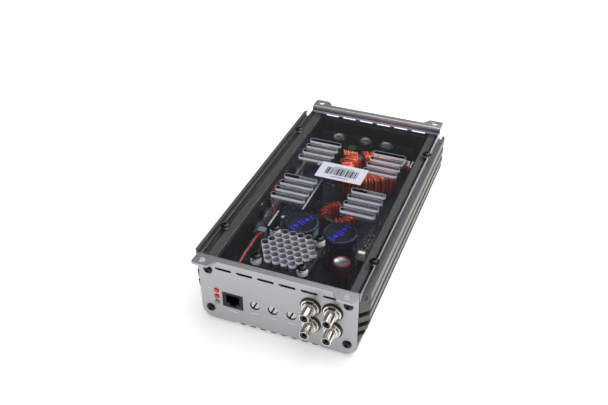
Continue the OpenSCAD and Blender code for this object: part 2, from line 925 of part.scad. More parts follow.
module data_jack_housing() {
    low = [jack_x[0] + gap, -face_y, jack_z[0] + gap];
    high = [jack_x[1] - gap, -face_y + jack_depth, jack_z[1] - gap];
    mid_x = (jack_x[0] + jack_x[1]) / 2;
    cavity_z = (jack_z[0] + jack_z[1]) / 2 - jack_cavity[1] / 2 + 1.2;
    color([0.09, 0.1, 0.13]) {
        difference() {
            block(low, high);
            block([mid_x - jack_cavity[0] / 2, -face_y - past, cavity_z],
                  [mid_x + jack_cavity[0] / 2, -face_y + jack_cavity[2], cavity_z + jack_cavity[1]]);
            block([mid_x - jack_notch[0] / 2, -face_y - past, cavity_z - jack_notch[1]],
                  [mid_x + jack_notch[0] / 2, -face_y + jack_cavity[2] - 4, cavity_z + past]);
        }
        // pegs that stand on the board
        for (s = [-1, 1])
            translate([mid_x + s * 6, high[1] - 3, board_top])
                cylinder(h = jack_z[0] + gap - board_top, r = 1.6);
    }
}

module data_jack_contacts() {
    mid_x = (jack_x[0] + jack_x[1]) / 2;
    top = (jack_z[0] + jack_z[1]) / 2 + jack_cavity[1] / 2 + 1.2;
    color([0.85, 0.7, 0.35]) for (i = [0 : jack_contacts - 1])
        translate([mid_x + (i - (jack_contacts - 1) / 2) * jack_contact_pitch, 0, 0])
            block([-0.2, -face_y + 5, top - 0.9], [0.2, -face_y + jack_cavity[2], top]);
}

// ---------- trimmers ----------

function trimmer_body_back() = -end_y + 0.4 + trimmer_body[1];

module trimmer_bodies() {
    front = -end_y + 0.4;
    color([0.07, 0.07, 0.08]) for (x = trimmer_x) difference() {
        translate([x, front + trimmer_body[1] / 2, trimmer_z])
            cube(trimmer_body, center = true);
        bar_y(x, trimmer_z, front - past, -trimmer_front + trimmer_len + 0.2,
              trimmer_r + running_gap);
    }
}

// A trimmer's turning disc with its screwdriver slot, its axis along Y
module trimmer_rotor(x) {
    color([0.92, 0.93, 0.93]) difference() {
        bar_y(x, trimmer_z, -trimmer_front, -trimmer_front + trimmer_len, trimmer_r);
        translate([x, -trimmer_front, trimmer_z]) rotate([0, trimmer_angle, 0])
            cube([trimmer_slot[0], 2 * trimmer_slot[2], trimmer_slot[1]], center = true);
    }
}

module gain_trimmer() {
    trimmer_rotor(trimmer_x[0]);
}

module crossover_trimmer() {
    trimmer_rotor(trimmer_x[1]);
}

module bass_trimmer() {
    trimmer_rotor(trimmer_x[2]);
}

// ---------- status lights ----------

module status_leds() {
    color([0.8, 0.08, 0.1]) for (z = led_z)
        translate([led_x, -face_y, z]) rotate([90, 0, 0]) rotate_extrude($fn = 32)
            polygon(concat(
                [[0, -5], [led_r + 0.35, -5], [led_r + 0.35, -4], [led_r, -4]],
                [for (a = [0 : 15 : 90]) [led_r * cos(a), led_reach - led_r + led_r * sin(a)]]
            ));
}

module led_holder() {
    color([0.06, 0.06, 0.07])
        block([led_x - 3, -face_y + 5, board_top], [led_x + 1.6, -face_y + 9, 37]);
}

// ---------- wire terminals ----------

// Outer corners of the terminal blocks, which pass through the rear panel
function insert_half(bore) = bore / 2 + insert_wall;
function battery_low() = [
    battery_x[0] - insert_half(battery_bore_d) - block_wall,
    end_y - 5,
    terminal_z - insert_half(battery_bore_d) - block_wall
];
function battery_high() = [
    remote_x + insert_half(remote_bore_d) + block_wall,
    face_y + terminal_reach,
    terminal_z + insert_half(battery_bore_d) + block_wall
];
function speaker_low() = [
    speaker_x[0] - insert_half(speaker_bore_d) - block_wall,
    end_y - 5,
    terminal_z - insert_half(speaker_bore_d) - block_wall
];
function speaker_high() = [
    speaker_x[1] + insert_half(speaker_bore_d) + block_wall,
    face_y + terminal_reach,
    terminal_z + insert_half(speaker_bore_d) + block_wall
];

// A square metal insert with a wire bore from the rear and a set screw hole from below
module terminal_insert(x, bore, screw_r) {
    half = insert_half(bore);
    back = face_y + terminal_reach - 0.6;
    difference() {
        block([x - half + gap, back - insert_depth, terminal_z - half + gap],
              [x + half - gap, back, terminal_z + half - gap]);
        bar_y(x, terminal_z, back - insert_depth + 2, back + past, bore / 2);
        translate([x, back - 7, terminal_z - half - past])
            cylinder(h = half + past, r = screw_r);
    }
}

// The pocket in a block that an insert slides into, and the way in for its set screw
module terminal_pocket(x, bore, screw_r) {
    half = insert_half(bore);
    back = face_y + terminal_reach;
    block([x - half, back - insert_depth - 0.6, terminal_z - half],
          [x + half, back + past, terminal_z + half]);
    translate([x, back - 7.6, terminal_z - half - 10]) cylinder(h = 12, r = screw_r + 0.6);
}

// A set screw below the wire, with a hexagon socket
module terminal_screw(x, bore, screw_r) {
    half = insert_half(bore);
    length = insert_wall - 0.5;
    translate([x, face_y + terminal_reach - 7.6, terminal_z - half + 0.3]) difference() {
        cylinder(h = length, r = screw_r - gap / 2);
        translate([0, 0, -past]) cylinder(h = 1.8 + past, r = screw_r * 0.55, $fn = 6);
    }
}

module battery_terminal_block() {
    color([0.05, 0.05, 0.06]) difference() {
        block(battery_low(), battery_high());
        for (x = battery_x) terminal_pocket(x, battery_bore_d, set_screw_r[0]);
        terminal_pocket(remote_x, remote_bore_d, set_screw_r[2]);
    }
}

module battery_terminal_inserts() {
    color([0.8, 0.7, 0.45]) {
        for (x = battery_x) terminal_insert(x, battery_bore_d, set_screw_r[0]);
        terminal_insert(remote_x, remote_bore_d, set_screw_r[2]);
    }
}

module battery_terminal_screws() {
    color([0.3, 0.3, 0.32]) {
        for (x = battery_x) terminal_screw(x, battery_bore_d, set_screw_r[0]);
        terminal_screw(remote_x, remote_bore_d, set_screw_r[2]);
    }
}

module speaker_terminal_block() {
    color([0.05, 0.05, 0.06]) difference() {
        block(speaker_low(), speaker_high());
        for (x = speaker_x) terminal_pocket(x, speaker_bore_d, set_screw_r[1]);
    }
}

module speaker_terminal_inserts() {
    color([0.8, 0.7, 0.45])
        for (x = speaker_x) terminal_insert(x, speaker_bore_d, set_screw_r[1]);
}

module speaker_terminal_screws() {
    color([0.3, 0.3, 0.32])
        for (x = speaker_x) terminal_screw(x, speaker_bore_d, set_screw_r[1]);
}

heatsink_case();
front_end_panel();
rear_end_panel();
clear_cover();
cover_label();
end_panel_screws();
cover_screws();
fan_frame();
fan_rotor();
fan_screws();
fan_nuts();
fan_spacers();
fan_wire_red();
fan_wire_black();
fan_plug();
main_board();
board_standoffs();
board_screws();
driver_board();
control_board();
trimmer_board();
reservoir_capacitors();
input_capacitor();
output_capacitors();
transformer_core();
transformer_winding();
choke_core();
choke_winding();
filter_coil();
film_capacitor();
board_connectors();
surface_chips();
transistors_left();
transistors_right();
clamp_bar_left();
clamp_bar_right();
thermal_pads();
phono_block();
phono_shells();
phono_insulators();
phono_contacts();
phono_washers();
phono_nuts();
data_jack_housing();
data_jack_contacts();
trimmer_bodies();
gain_trimmer();
crossover_trimmer();
bass_trimmer();
status_leds();
led_holder();
battery_terminal_block();
battery_terminal_inserts();
battery_terminal_screws();
speaker_terminal_block();
speaker_terminal_inserts();
speaker_terminal_screws();
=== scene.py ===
import math
import random

import bmesh
import bpy
from mathutils import Matrix, Vector


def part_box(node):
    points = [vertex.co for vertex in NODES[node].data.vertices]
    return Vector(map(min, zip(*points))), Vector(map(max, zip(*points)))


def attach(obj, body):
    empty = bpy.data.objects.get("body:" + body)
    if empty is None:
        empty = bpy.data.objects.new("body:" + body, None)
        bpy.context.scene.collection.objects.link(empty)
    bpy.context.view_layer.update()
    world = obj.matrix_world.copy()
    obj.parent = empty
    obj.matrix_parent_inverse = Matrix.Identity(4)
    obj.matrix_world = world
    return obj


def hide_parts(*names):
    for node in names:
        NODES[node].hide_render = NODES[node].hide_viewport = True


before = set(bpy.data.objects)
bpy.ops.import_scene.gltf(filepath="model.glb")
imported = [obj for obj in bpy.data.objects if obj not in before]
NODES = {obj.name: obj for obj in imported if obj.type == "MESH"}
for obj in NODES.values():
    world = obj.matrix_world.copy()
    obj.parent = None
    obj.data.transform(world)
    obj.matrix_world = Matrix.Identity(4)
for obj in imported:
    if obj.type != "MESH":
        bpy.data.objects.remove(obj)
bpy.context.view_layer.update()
ROOT = "amplifier"
MM = 0.001


# ---------------------------------------------------------------- camera, light and floor

CAMERA_PLACE = (0.1900, -0.5613, 0.4715)
CAMERA_AZIMUTH = 21.2
CAMERA_ELEVATION = 35.6
CAMERA_LENS = 46.97


FLOOR_GLOW = 0.5
WORLD_STRENGTH = 0.12
SKY_STRENGTH = 2.1
SKY_WIDTH = 66
SKY_FROM = (0.18, 0.24, 0.93)


def make_camera():
    """A camera at a long desk-side view, looking down on the cover from the signal end."""
    az, el = math.radians(CAMERA_AZIMUTH), math.radians(CAMERA_ELEVATION)
    forward = Vector((-math.sin(az) * math.cos(el), math.cos(az) * math.cos(el), -math.sin(el)))
    data = bpy.data.cameras.new("camera")
    data.lens = CAMERA_LENS
    data.sensor_width = 36
    data.clip_start, data.clip_end = 0.01, 20
    camera = bpy.data.objects.new("camera", data)
    camera.location = CAMERA_PLACE
    camera.rotation_mode = "QUATERNION"
    camera.rotation_quaternion = forward.to_track_quat("-Z", "Y")
    bpy.context.scene.collection.objects.link(camera)
    bpy.context.scene.camera = camera


def area_light(name, place, target, size, power, colour=(1, 1, 1)):
    data = bpy.data.lights.new(name, "AREA")
    data.shape = "RECTANGLE"
    data.size, data.size_y = size
    data.energy = power
    data.color = colour
    light = bpy.data.objects.new(name, data)
    light.location = place
    light.rotation_mode = "QUATERNION"
    light.rotation_quaternion = (Vector(target) - Vector(place)).to_track_quat("-Z", "Y")
    bpy.context.scene.collection.objects.link(light)


def make_lights():
    world = bpy.data.worlds.new("studio")
    bpy.context.scene.world = world
    world.use_nodes = True
    back = world.node_tree.nodes["Background"]
    back.inputs["Color"].default_value = (0.95, 0.97, 1.0, 1)
    back.inputs["Strength"].default_value = WORLD_STRENGTH
    sun = bpy.data.lights.new("soft_sky", "SUN")
    sun.energy = SKY_STRENGTH
    sun.angle = math.radians(SKY_WIDTH)
    sky = bpy.data.objects.new("soft_sky", sun)
    sky.rotation_mode = "QUATERNION"
    sky.rotation_quaternion = Vector(SKY_FROM).to_track_quat("Z", "Y")
    bpy.context.scene.collection.objects.link(sky)
    area_light("front_box", (-0.4, -1.3, 0.5), (0, -0.1, 0.03), (1.0, 0.6), 2.0)
    area_light("right_box", (0.9, 0.5, 0.55), (0.05, 0, 0.05), (0.7, 0.5), 0.5)
    area_light("back_box", (0.35, 0.9, 0.95), (0, 0, 0.06), (0.35, 0.35), 6)
    bpy.context.scene.view_settings.view_transform = "Standard"


def make_floor():
    bm = bmesh.new()
    bmesh.ops.create_grid(bm, x_segments=1, y_segments=1, size=3)
    data = bpy.data.meshes.new("floor")
    bm.to_mesh(data)
    bm.free()
    floor = bpy.data.objects.new("floor", data)
    floor.location.z = -0.0004
    bpy.context.scene.collection.objects.link(floor)
    mat = Surface("floor_paper", (0.93, 0.93, 0.935), roughness=0.7)
    mat.speckle(scale=60, amount=0.02)
    mat.shader.inputs["Emission Color"].default_value = (1, 1, 1, 1)
    mat.shader.inputs["Emission Strength"].default_value = FLOOR_GLOW
    data.materials.append(mat.material)


# ---------------------------------------------------------------- materials

class Surface:
    """A Principled material that is built up from procedural layers in object space."""

    def __init__(self, name, colour, metallic=0.0, roughness=0.5, **sockets):
        self.material = bpy.data.materials.new(name)
        self.material.use_nodes = True
        self.tree = self.material.node_tree
        self.shader = self.tree.nodes["Principled BSDF"]
        self.colour = colour
        self.roughness = roughness
        self.shader.inputs["Base Color"].default_value = (*colour, 1)
        self.shader.inputs["Metallic"].default_value = metallic
        self.shader.inputs["Roughness"].default_value = roughness
        for key, value in sockets.items():
            self.shader.inputs[key.replace("_", " ")].default_value = value
        self.height = None

    def node(self, kind, **values):
        n = self.tree.nodes.new(kind)
        for key, value in values.items():
            if key in n.inputs:
                n.inputs[key].default_value = value
            else:
                setattr(n, key, value)
        return n

    def link(self, a, b):
        self.tree.links.new(a, b)

    def coords(self, stretch=(1, 1, 1)):
        """Object coordinates in metres, scaled along each axis."""
        where = self.node("ShaderNodeTexCoord")
        mapping = self.node("ShaderNodeMapping")
        mapping.inputs["Scale"].default_value = stretch
        self.link(where.outputs["Object"], mapping.inputs["Vector"])
        return mapping.outputs["Vector"]

    def noise(self, scale, detail=4, stretch=(1, 1, 1), rough=0.55):
        n = self.node("ShaderNodeTexNoise", Scale=scale, Detail=detail, Roughness=rough)
        self.link(self.coords(stretch), n.inputs["Vector"])
        return n.outputs["Fac"]

    def mapped(self, value, low, high, start=0.3, end=0.7):
        n = self.node("ShaderNodeMapRange")
        n.inputs["From Min"].default_value = start
        n.inputs["From Max"].default_value = end
        n.inputs["To Min"].default_value = low
        n.inputs["To Max"].default_value = high
        self.link(value, n.inputs["Value"])
        return n.outputs["Result"]

    def mixed(self, factor, a, b):
        """A colour between a and b; each is a colour or another node's output."""
        n = self.node("ShaderNodeMix", data_type="RGBA")
        self.link(factor, n.inputs["Factor"])
        for socket, value in ((n.inputs[6], a), (n.inputs[7], b)):
            if isinstance(value, tuple):
                socket.default_value = (*value, 1)
            else:
                self.link(value, socket)
        return n.outputs[2]

    def tint(self, factor, colour):
        """Lays another colour over the base colour by the factor."""
        base = self.shader.inputs["Base Color"]
        under = base.links[0].from_socket if base.is_linked else self.colour
        self.link(self.mixed(factor, under, colour), base)
        return self

    def speckle(self, scale, amount, stretch=(1, 1, 1), detail=4):
        """Slow or fine changes of brightness in the base colour."""
        fac = self.mapped(self.noise(scale, detail, stretch), 0, 1)
        self.tint(fac, tuple(max(0.0, c * (1 - 2.2 * amount)) for c in self.colour))
        return self

    def uneven_gloss(self, scale, spread, stretch=(1, 1, 1)):
        low, high = max(0.02, self.roughness - spread), min(1, self.roughness + spread)
        fac = self.mapped(self.noise(scale, 3, stretch), low, high)
        self.link(fac, self.shader.inputs["Roughness"])
        return self

    def bump(self, scale, depth_mm, stretch=(1, 1, 1), detail=3, strength=1.0):
        """Fine relief; each call adds a layer over the ones before."""
        n = self.node("ShaderNodeBump")
        n.inputs["Strength"].default_value = strength
        n.inputs["Distance"].default_value = depth_mm * MM
        self.link(self.noise(scale, detail, stretch), n.inputs["Height"])
        if self.height is not None:
            self.link(self.height, n.inputs["Normal"])
        self.height = n.outputs["Normal"]
        self.link(self.height, self.shader.inputs["Normal"])
        return self


# ---------------------------------------------------------------- mesh helpers

def finish_piece(name, bm, materials, body=ROOT, smooth=True, replaces=()):
    """Turns a bmesh into a named piece that rides on a body and stands for CAD nodes."""
    bmesh.ops.recalc_face_normals(bm, faces=bm.faces)
    data = bpy.data.meshes.new(name)
    bm.to_mesh(data)
    bm.free()
    for m in materials if isinstance(materials, (list, tuple)) else [materials]:
        data.materials.append(m.material)
    piece = bpy.data.objects.new(name, data)
    bpy.context.scene.collection.objects.link(piece)
    if smooth:
        data.shade_smooth()
    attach(piece, body)
    if replaces:
        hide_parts(*replaces)
    return piece


def soften(piece, width_mm, segments=2, angle=35):
    """Small rounded edges, so that corners catch the light."""
    bevel = piece.modifiers.new("soft_edges", "BEVEL")
    bevel.width = width_mm * MM
    bevel.segments = segments
    bevel.limit_method = "ANGLE"
    bevel.angle_limit = math.radians(angle)
    bevel.harden_normals = True
    return piece


def add_tube(bm, points, radius, sides=8, closed=False, material=0):
    """Sweeps a round wire along points given in metres."""
    count = len(points)
    rings = []
    side = None
    for i, p in enumerate(points):
        before = points[i - 1] if (i or closed) else p
        after = points[(i + 1) % count] if (i < count - 1 or closed) else p
        ahead = (after - before).normalized()
        if side is None:
            side = ahead.orthogonal().normalized()
        side = (side - ahead * side.dot(ahead)).normalized()
        up = ahead.cross(side)
        turn = [2 * math.pi * k / sides for k in range(sides)]
        rings.append([bm.verts.new(p + radius * (math.cos(a) * side + math.sin(a) * up)) for a in turn])
    for i in range(count if closed else count - 1):
        a, b = rings[i], rings[(i + 1) % count]
        for k in range(sides):
            face = bm.faces.new((a[k], a[(k + 1) % sides], b[(k + 1) % sides], b[k]))
            face.material_index = material
            face.smooth = True
    if not closed:
        for ring in (rings[0], rings[-1]):
            bm.faces.new(ring).material_index = material


def smooth_path(points, steps=6):
    """A smooth curve through the points."""
    points = [Vector(p) for p in points]
    last = len(points) - 1
    path = []
    for i in range(last):
        a, b = points[max(i - 1, 0)], points[i]
        c, d = points[i + 1], points[min(i + 2, last)]
        for k in range(steps):
            t = k / steps
            path.append(0.5 * (2 * b + (c - a) * t + (2 * a - 5 * b + 4 * c - d) * t * t
                               + (3 * b - a - 3 * c + d) * t ** 3))
    return path + [points[last]]


def add_lathe(bm, profile_mm, place, axis="Z", segments=48, material=0, bands=None):
    """Turns a profile of (radius, height) in mm about an axis through place."""
    turn = {
        "Z": Matrix.Identity(3),
        "-Y": Matrix.Rotation(math.radians(90), 3, "X"),
        "Y": Matrix.Rotation(math.radians(-90), 3, "X"),
        "-Z": Matrix.Rotation(math.radians(180), 3, "X"),
    }[axis]
    rings = []
    for radius, height in profile_mm:
        if radius < 1e-6:
            rings.append([bm.verts.new(Vector(place) + turn @ Vector((0, 0, height * MM)))])
            continue
        ring = []
        for k in range(segments):
            a = 2 * math.pi * k / segments
            spot = Vector((radius * MM * math.cos(a), radius * MM * math.sin(a), height * MM))
            ring.append(bm.verts.new(Vector(place) + turn @ spot))
        rings.append(ring)
    for i in range(len(rings) - 1):
        a, b = rings[i], rings[i + 1]
        index = bands[i] if bands else material
        for k in range(segments):
            n = (k + 1) % segments
            if len(a) == 1 and len(b) == 1:
                continue
            if len(a) == 1:
                face = bm.faces.new((a[0], b[k], b[n]))
            elif len(b) == 1:
                face = bm.faces.new((a[k], b[0], a[n]))
            else:
                face = bm.faces.new((a[k], b[k], b[n], a[n]))
            face.material_index = index


def add_box(bm, low, high, material=0):
    """A box between two corners in metres."""
    centre = (Vector(low) + Vector(high)) / 2
    size = Vector(high) - Vector(low)
    matrix = Matrix.Translation(centre) @ Matrix.Diagonal((*size, 1))
    made = bmesh.ops.create_cube(bm, size=1, matrix=matrix)
    for v in made["verts"]:
        for face in v.link_faces:
            face.material_index = material
    return made["verts"]


def middle(node):
    low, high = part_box(node)
    return (Vector(low) + Vector(high)) / 2


def curve_solid(name, outlines, depth, bevel=0.0):
    """A flat mesh from closed outlines in XY, the inner ones cut out, depth thick about z = 0."""
    data = bpy.data.curves.new(name, "CURVE")
    data.dimensions = "2D"
    data.fill_mode = "BOTH"
    data.extrude = depth / 2 - bevel
    data.bevel_depth = bevel
    data.bevel_resolution = 1
    data.offset = -bevel
    for outline in outlines:
        spline = data.splines.new("POLY")
        spline.points.add(len(outline) - 1)
        for point, (x, y) in zip(spline.points, outline):
            point.co = (x, y, 0, 1)
        spline.use_cyclic_u = True
    holder = bpy.data.objects.new(name, data)
    bpy.context.scene.collection.objects.link(holder)
    mesh = bpy.data.meshes.new_from_object(holder.evaluated_get(bpy.context.evaluated_depsgraph_get()))
    bpy.data.objects.remove(holder)
    bm = bmesh.new()
    bm.from_mesh(mesh)
    bpy.data.meshes.remove(mesh)
    bmesh.ops.remove_doubles(bm, verts=bm.verts, dist=1e-6)
    return bm


def circle_points(x, y, radius, count=32):
    return [(x + radius * math.cos(2 * math.pi * k / count), y + radius * math.sin(2 * math.pi * k / count))
            for k in range(count)]


def stadium_points(x, y, length, width, count=12):
    r, half = width / 2, (length - width) / 2
    right = [(x + half + r * math.cos(a), y + r * math.sin(a))
             for a in (-math.pi / 2 + math.pi * k / count for k in range(count + 1))]
    left = [(x - half - r * math.cos(a), y - r * math.sin(a))
            for a in (-math.pi / 2 + math.pi * k / count for k in range(count + 1))]
    return right + left


# ---------------------------------------------------------------- the object's finishes

def srgb(*values):
    """A colour given in display values from 0 to 255."""
    return tuple((v / 255 / 12.92) if v <= 10.31 else ((v / 255 + 0.055) / 1.055) ** 2.4 for v in values)


ALONG = (1, 0.03, 1)


def case_metal():
    s = Surface("gunmetal_anodised", srgb(92, 92, 88), metallic=0.2, roughness=0.4)
    s.speckle(scale=900, amount=0.08, stretch=ALONG, detail=6)
    s.speckle(scale=30, amount=0.04)
    s.uneven_gloss(scale=500, spread=0.07, stretch=ALONG)
    return s.bump(scale=1400, depth_mm=0.02, stretch=ALONG)


def panel_metal(name):
    s = Surface(name, srgb(178, 178, 181), metallic=0.85, roughness=0.34)
    s.speckle(scale=1800, amount=0.025, detail=4)
    s.speckle(scale=40, amount=0.03)
    s.uneven_gloss(scale=700, spread=0.06)
    return s.bump(scale=1800, depth_mm=0.004)


def black_screw():
    s = Surface("black_oxide", srgb(13, 13, 15), metallic=0.2, roughness=0.36)
    s.speckle(scale=1200, amount=0.15)
    return s.uneven_gloss(scale=1500, spread=0.12)


def plated(name, colour, roughness=0.18, scale=1500):
    s = Surface(name, colour, metallic=1.0, roughness=roughness)
    s.speckle(scale=scale, amount=0.06)
    s.uneven_gloss(scale=900, spread=0.08)
    return s.bump(scale=2500, depth_mm=0.006)


def moulded(name, colour, roughness=0.45, grain=1800, depth=0.02, **sockets):
    s = Surface(name, colour, roughness=roughness, **sockets)
    s.speckle(scale=grain, amount=0.1)
    s.uneven_gloss(scale=grain / 3, spread=0.08)
    return s.bump(scale=grain, depth_mm=depth)


def nylon():
    s = Surface("natural_nylon", srgb(226, 228, 216), roughness=0.3)
    s.shader.inputs["Subsurface Weight"].default_value = 0.35
    s.shader.inputs["Subsurface Radius"].default_value = (0.004, 0.004, 0.003)
    s.speckle(scale=500, amount=0.03)
    return s.bump(scale=1200, depth_mm=0.02)


def solder_mask():
    """Dark blue board with paler tracks and a fine weave under the mask."""
    s = Surface("solder_mask", srgb(6, 9, 24), roughness=0.36, Specular_IOR_Level=0.2)
    cells = s.node("ShaderNodeTexVoronoi", feature="DISTANCE_TO_EDGE", distance="MANHATTAN", Scale=190)
    s.link(s.coords(), cells.inputs["Vector"])
    s.tint(s.mapped(cells.outputs["Distance"], 1, 0, 0.03, 0.09), srgb(13, 20, 46))
    pads = s.node("ShaderNodeTexVoronoi", Scale=330)
    s.link(s.coords(), pads.inputs["Vector"])
    s.tint(s.mapped(pads.outputs["Distance"], 1, 0, 0.13, 0.17), srgb(70, 76, 92))
    s.speckle(scale=2200, amount=0.06)
    return s.uneven_gloss(scale=400, spread=0.08)


def enamel_wire(name, colour, dark, roughness=0.22):
    s = Surface(name, colour, metallic=0.35, roughness=roughness, Coat_Weight=0.6)
    s.shader.inputs["Coat Roughness"].default_value = 0.12
    s.tint(s.mapped(s.noise(420, 3), 0, 0.8, 0.45, 0.75), dark)
    s.speckle(scale=1500, amount=0.1)
    return s.uneven_gloss(scale=900, spread=0.08)


def sleeve(name, colour, roughness=0.28):
    s = Surface(name, colour, roughness=roughness, Specular_IOR_Level=0.3)
    s.speckle(scale=160, amount=0.1)
    s.uneven_gloss(scale=260, spread=0.07)
    return s.bump(scale=220, depth_mm=0.05)


def brushed_can():
    s = Surface("can_top", srgb(140, 142, 145), metallic=0.8, roughness=0.34)
    s.speckle(scale=1500, amount=0.12, stretch=(1, 0.08, 1))
    s.uneven_gloss(scale=600, spread=0.08)
    return s.bump(scale=1500, depth_mm=0.015, stretch=(1, 0.08, 1))


def clear_sheet():
    """Clear acrylic that lets lamp light through to what is behind it."""
    s = Surface("clear_acrylic", (0.93, 0.95, 0.97), roughness=0.0)
    s.shader.inputs["Transmission Weight"].default_value = 1.0
    s.shader.inputs["IOR"].default_value = 1.49
    clear = s.node("ShaderNodeBsdfTransparent")
    path = s.node("ShaderNodeLightPath")
    mix = s.node("ShaderNodeMixShader")
    s.link(path.outputs["Is Shadow Ray"], mix.inputs[0])
    s.link(s.shader.outputs[0], mix.inputs[1])
    s.link(clear.outputs[0], mix.inputs[2])
    s.link(mix.outputs[0], s.tree.nodes["Material Output"].inputs["Surface"])
    return s


def two_sided(name, air, air_clear, within, within_lit):
    """A cut in clear acrylic: how it looks from the air, and how it looks from within the sheet; each side
    takes its own colour, so a darker colour on one side paints shade there.
    """
    s = Surface(name, air, roughness=0.5)
    s.speckle(scale=2500, amount=0.1)
    s.bump(scale=2600, depth_mm=0.05)
    clear = s.node("ShaderNodeBsdfTransparent")
    outside = s.node("ShaderNodeMixShader")
    outside.inputs[0].default_value = air_clear
    s.link(s.shader.outputs[0], outside.inputs[1])
    s.link(clear.outputs[0], outside.inputs[2])
    glow = s.node("ShaderNodeBsdfTranslucent", Color=(*within, 1))
    milk = s.node("ShaderNodeBsdfDiffuse", Color=(*within, 1))
    inside = s.node("ShaderNodeMixShader")
    inside.inputs[0].default_value = within_lit
    s.link(glow.outputs[0], inside.inputs[1])
    s.link(milk.outputs[0], inside.inputs[2])
    side = s.node("ShaderNodeNewGeometry")
    mix = s.node("ShaderNodeMixShader")
    s.link(side.outputs["Backfacing"], mix.inputs[0])
    s.link(outside.outputs[0], mix.inputs[1])
    s.link(inside.outputs[0], mix.inputs[2])
    s.link(mix.outputs[0], s.tree.nodes["Material Output"].inputs["Surface"])
    return s


def darken_where(surface, *cuts):
    """A near-black colour painted wherever every cut (axis, sense, limit in mm) holds, with a soft border.
    """
    shares = []
    for axis, sense, limit in cuts:
        split = surface.node("ShaderNodeSeparateXYZ")
        surface.link(surface.coords(), split.inputs[0])
        value = split.outputs[axis]
        if sense == "inside":
            flat = surface.node("ShaderNodeMath", operation="ABSOLUTE")
            surface.link(value, flat.inputs[0])
            value = flat.outputs[0]
        edge = surface.node("ShaderNodeMapRange")
        low, high = (limit - 0.15, limit + 0.15)
        ends = (0, 1) if sense == "above" else (1, 0)
        edge.inputs["From Min"].default_value = low * MM
        edge.inputs["From Max"].default_value = high * MM
        edge.inputs["To Min"].default_value, edge.inputs["To Max"].default_value = ends
        surface.link(value, edge.inputs["Value"])
        shares.append(edge.outputs[0])
    share = shares[0]
    for other in shares[1:]:
        both = surface.node("ShaderNodeMath", operation="MULTIPLY")
        surface.link(share, both.inputs[0])
        surface.link(other, both.inputs[1])
        share = both.outputs[0]
    # the near-black colour: painted shade on the case and the end panels, and a darker lower part on the
    # header
    surface.tint(share, srgb(20, 20, 22))
    return surface


def lamp_lens(name, colour, glow):
    s = Surface(name, colour, roughness=0.12, Coat_Weight=0.8)
    s.speckle(scale=800, amount=0.12)
    s.uneven_gloss(scale=500, spread=0.04)
    s.shader.inputs["Emission Color"].default_value = (*colour, 1)
    s.shader.inputs["Emission Strength"].default_value = glow
    return s


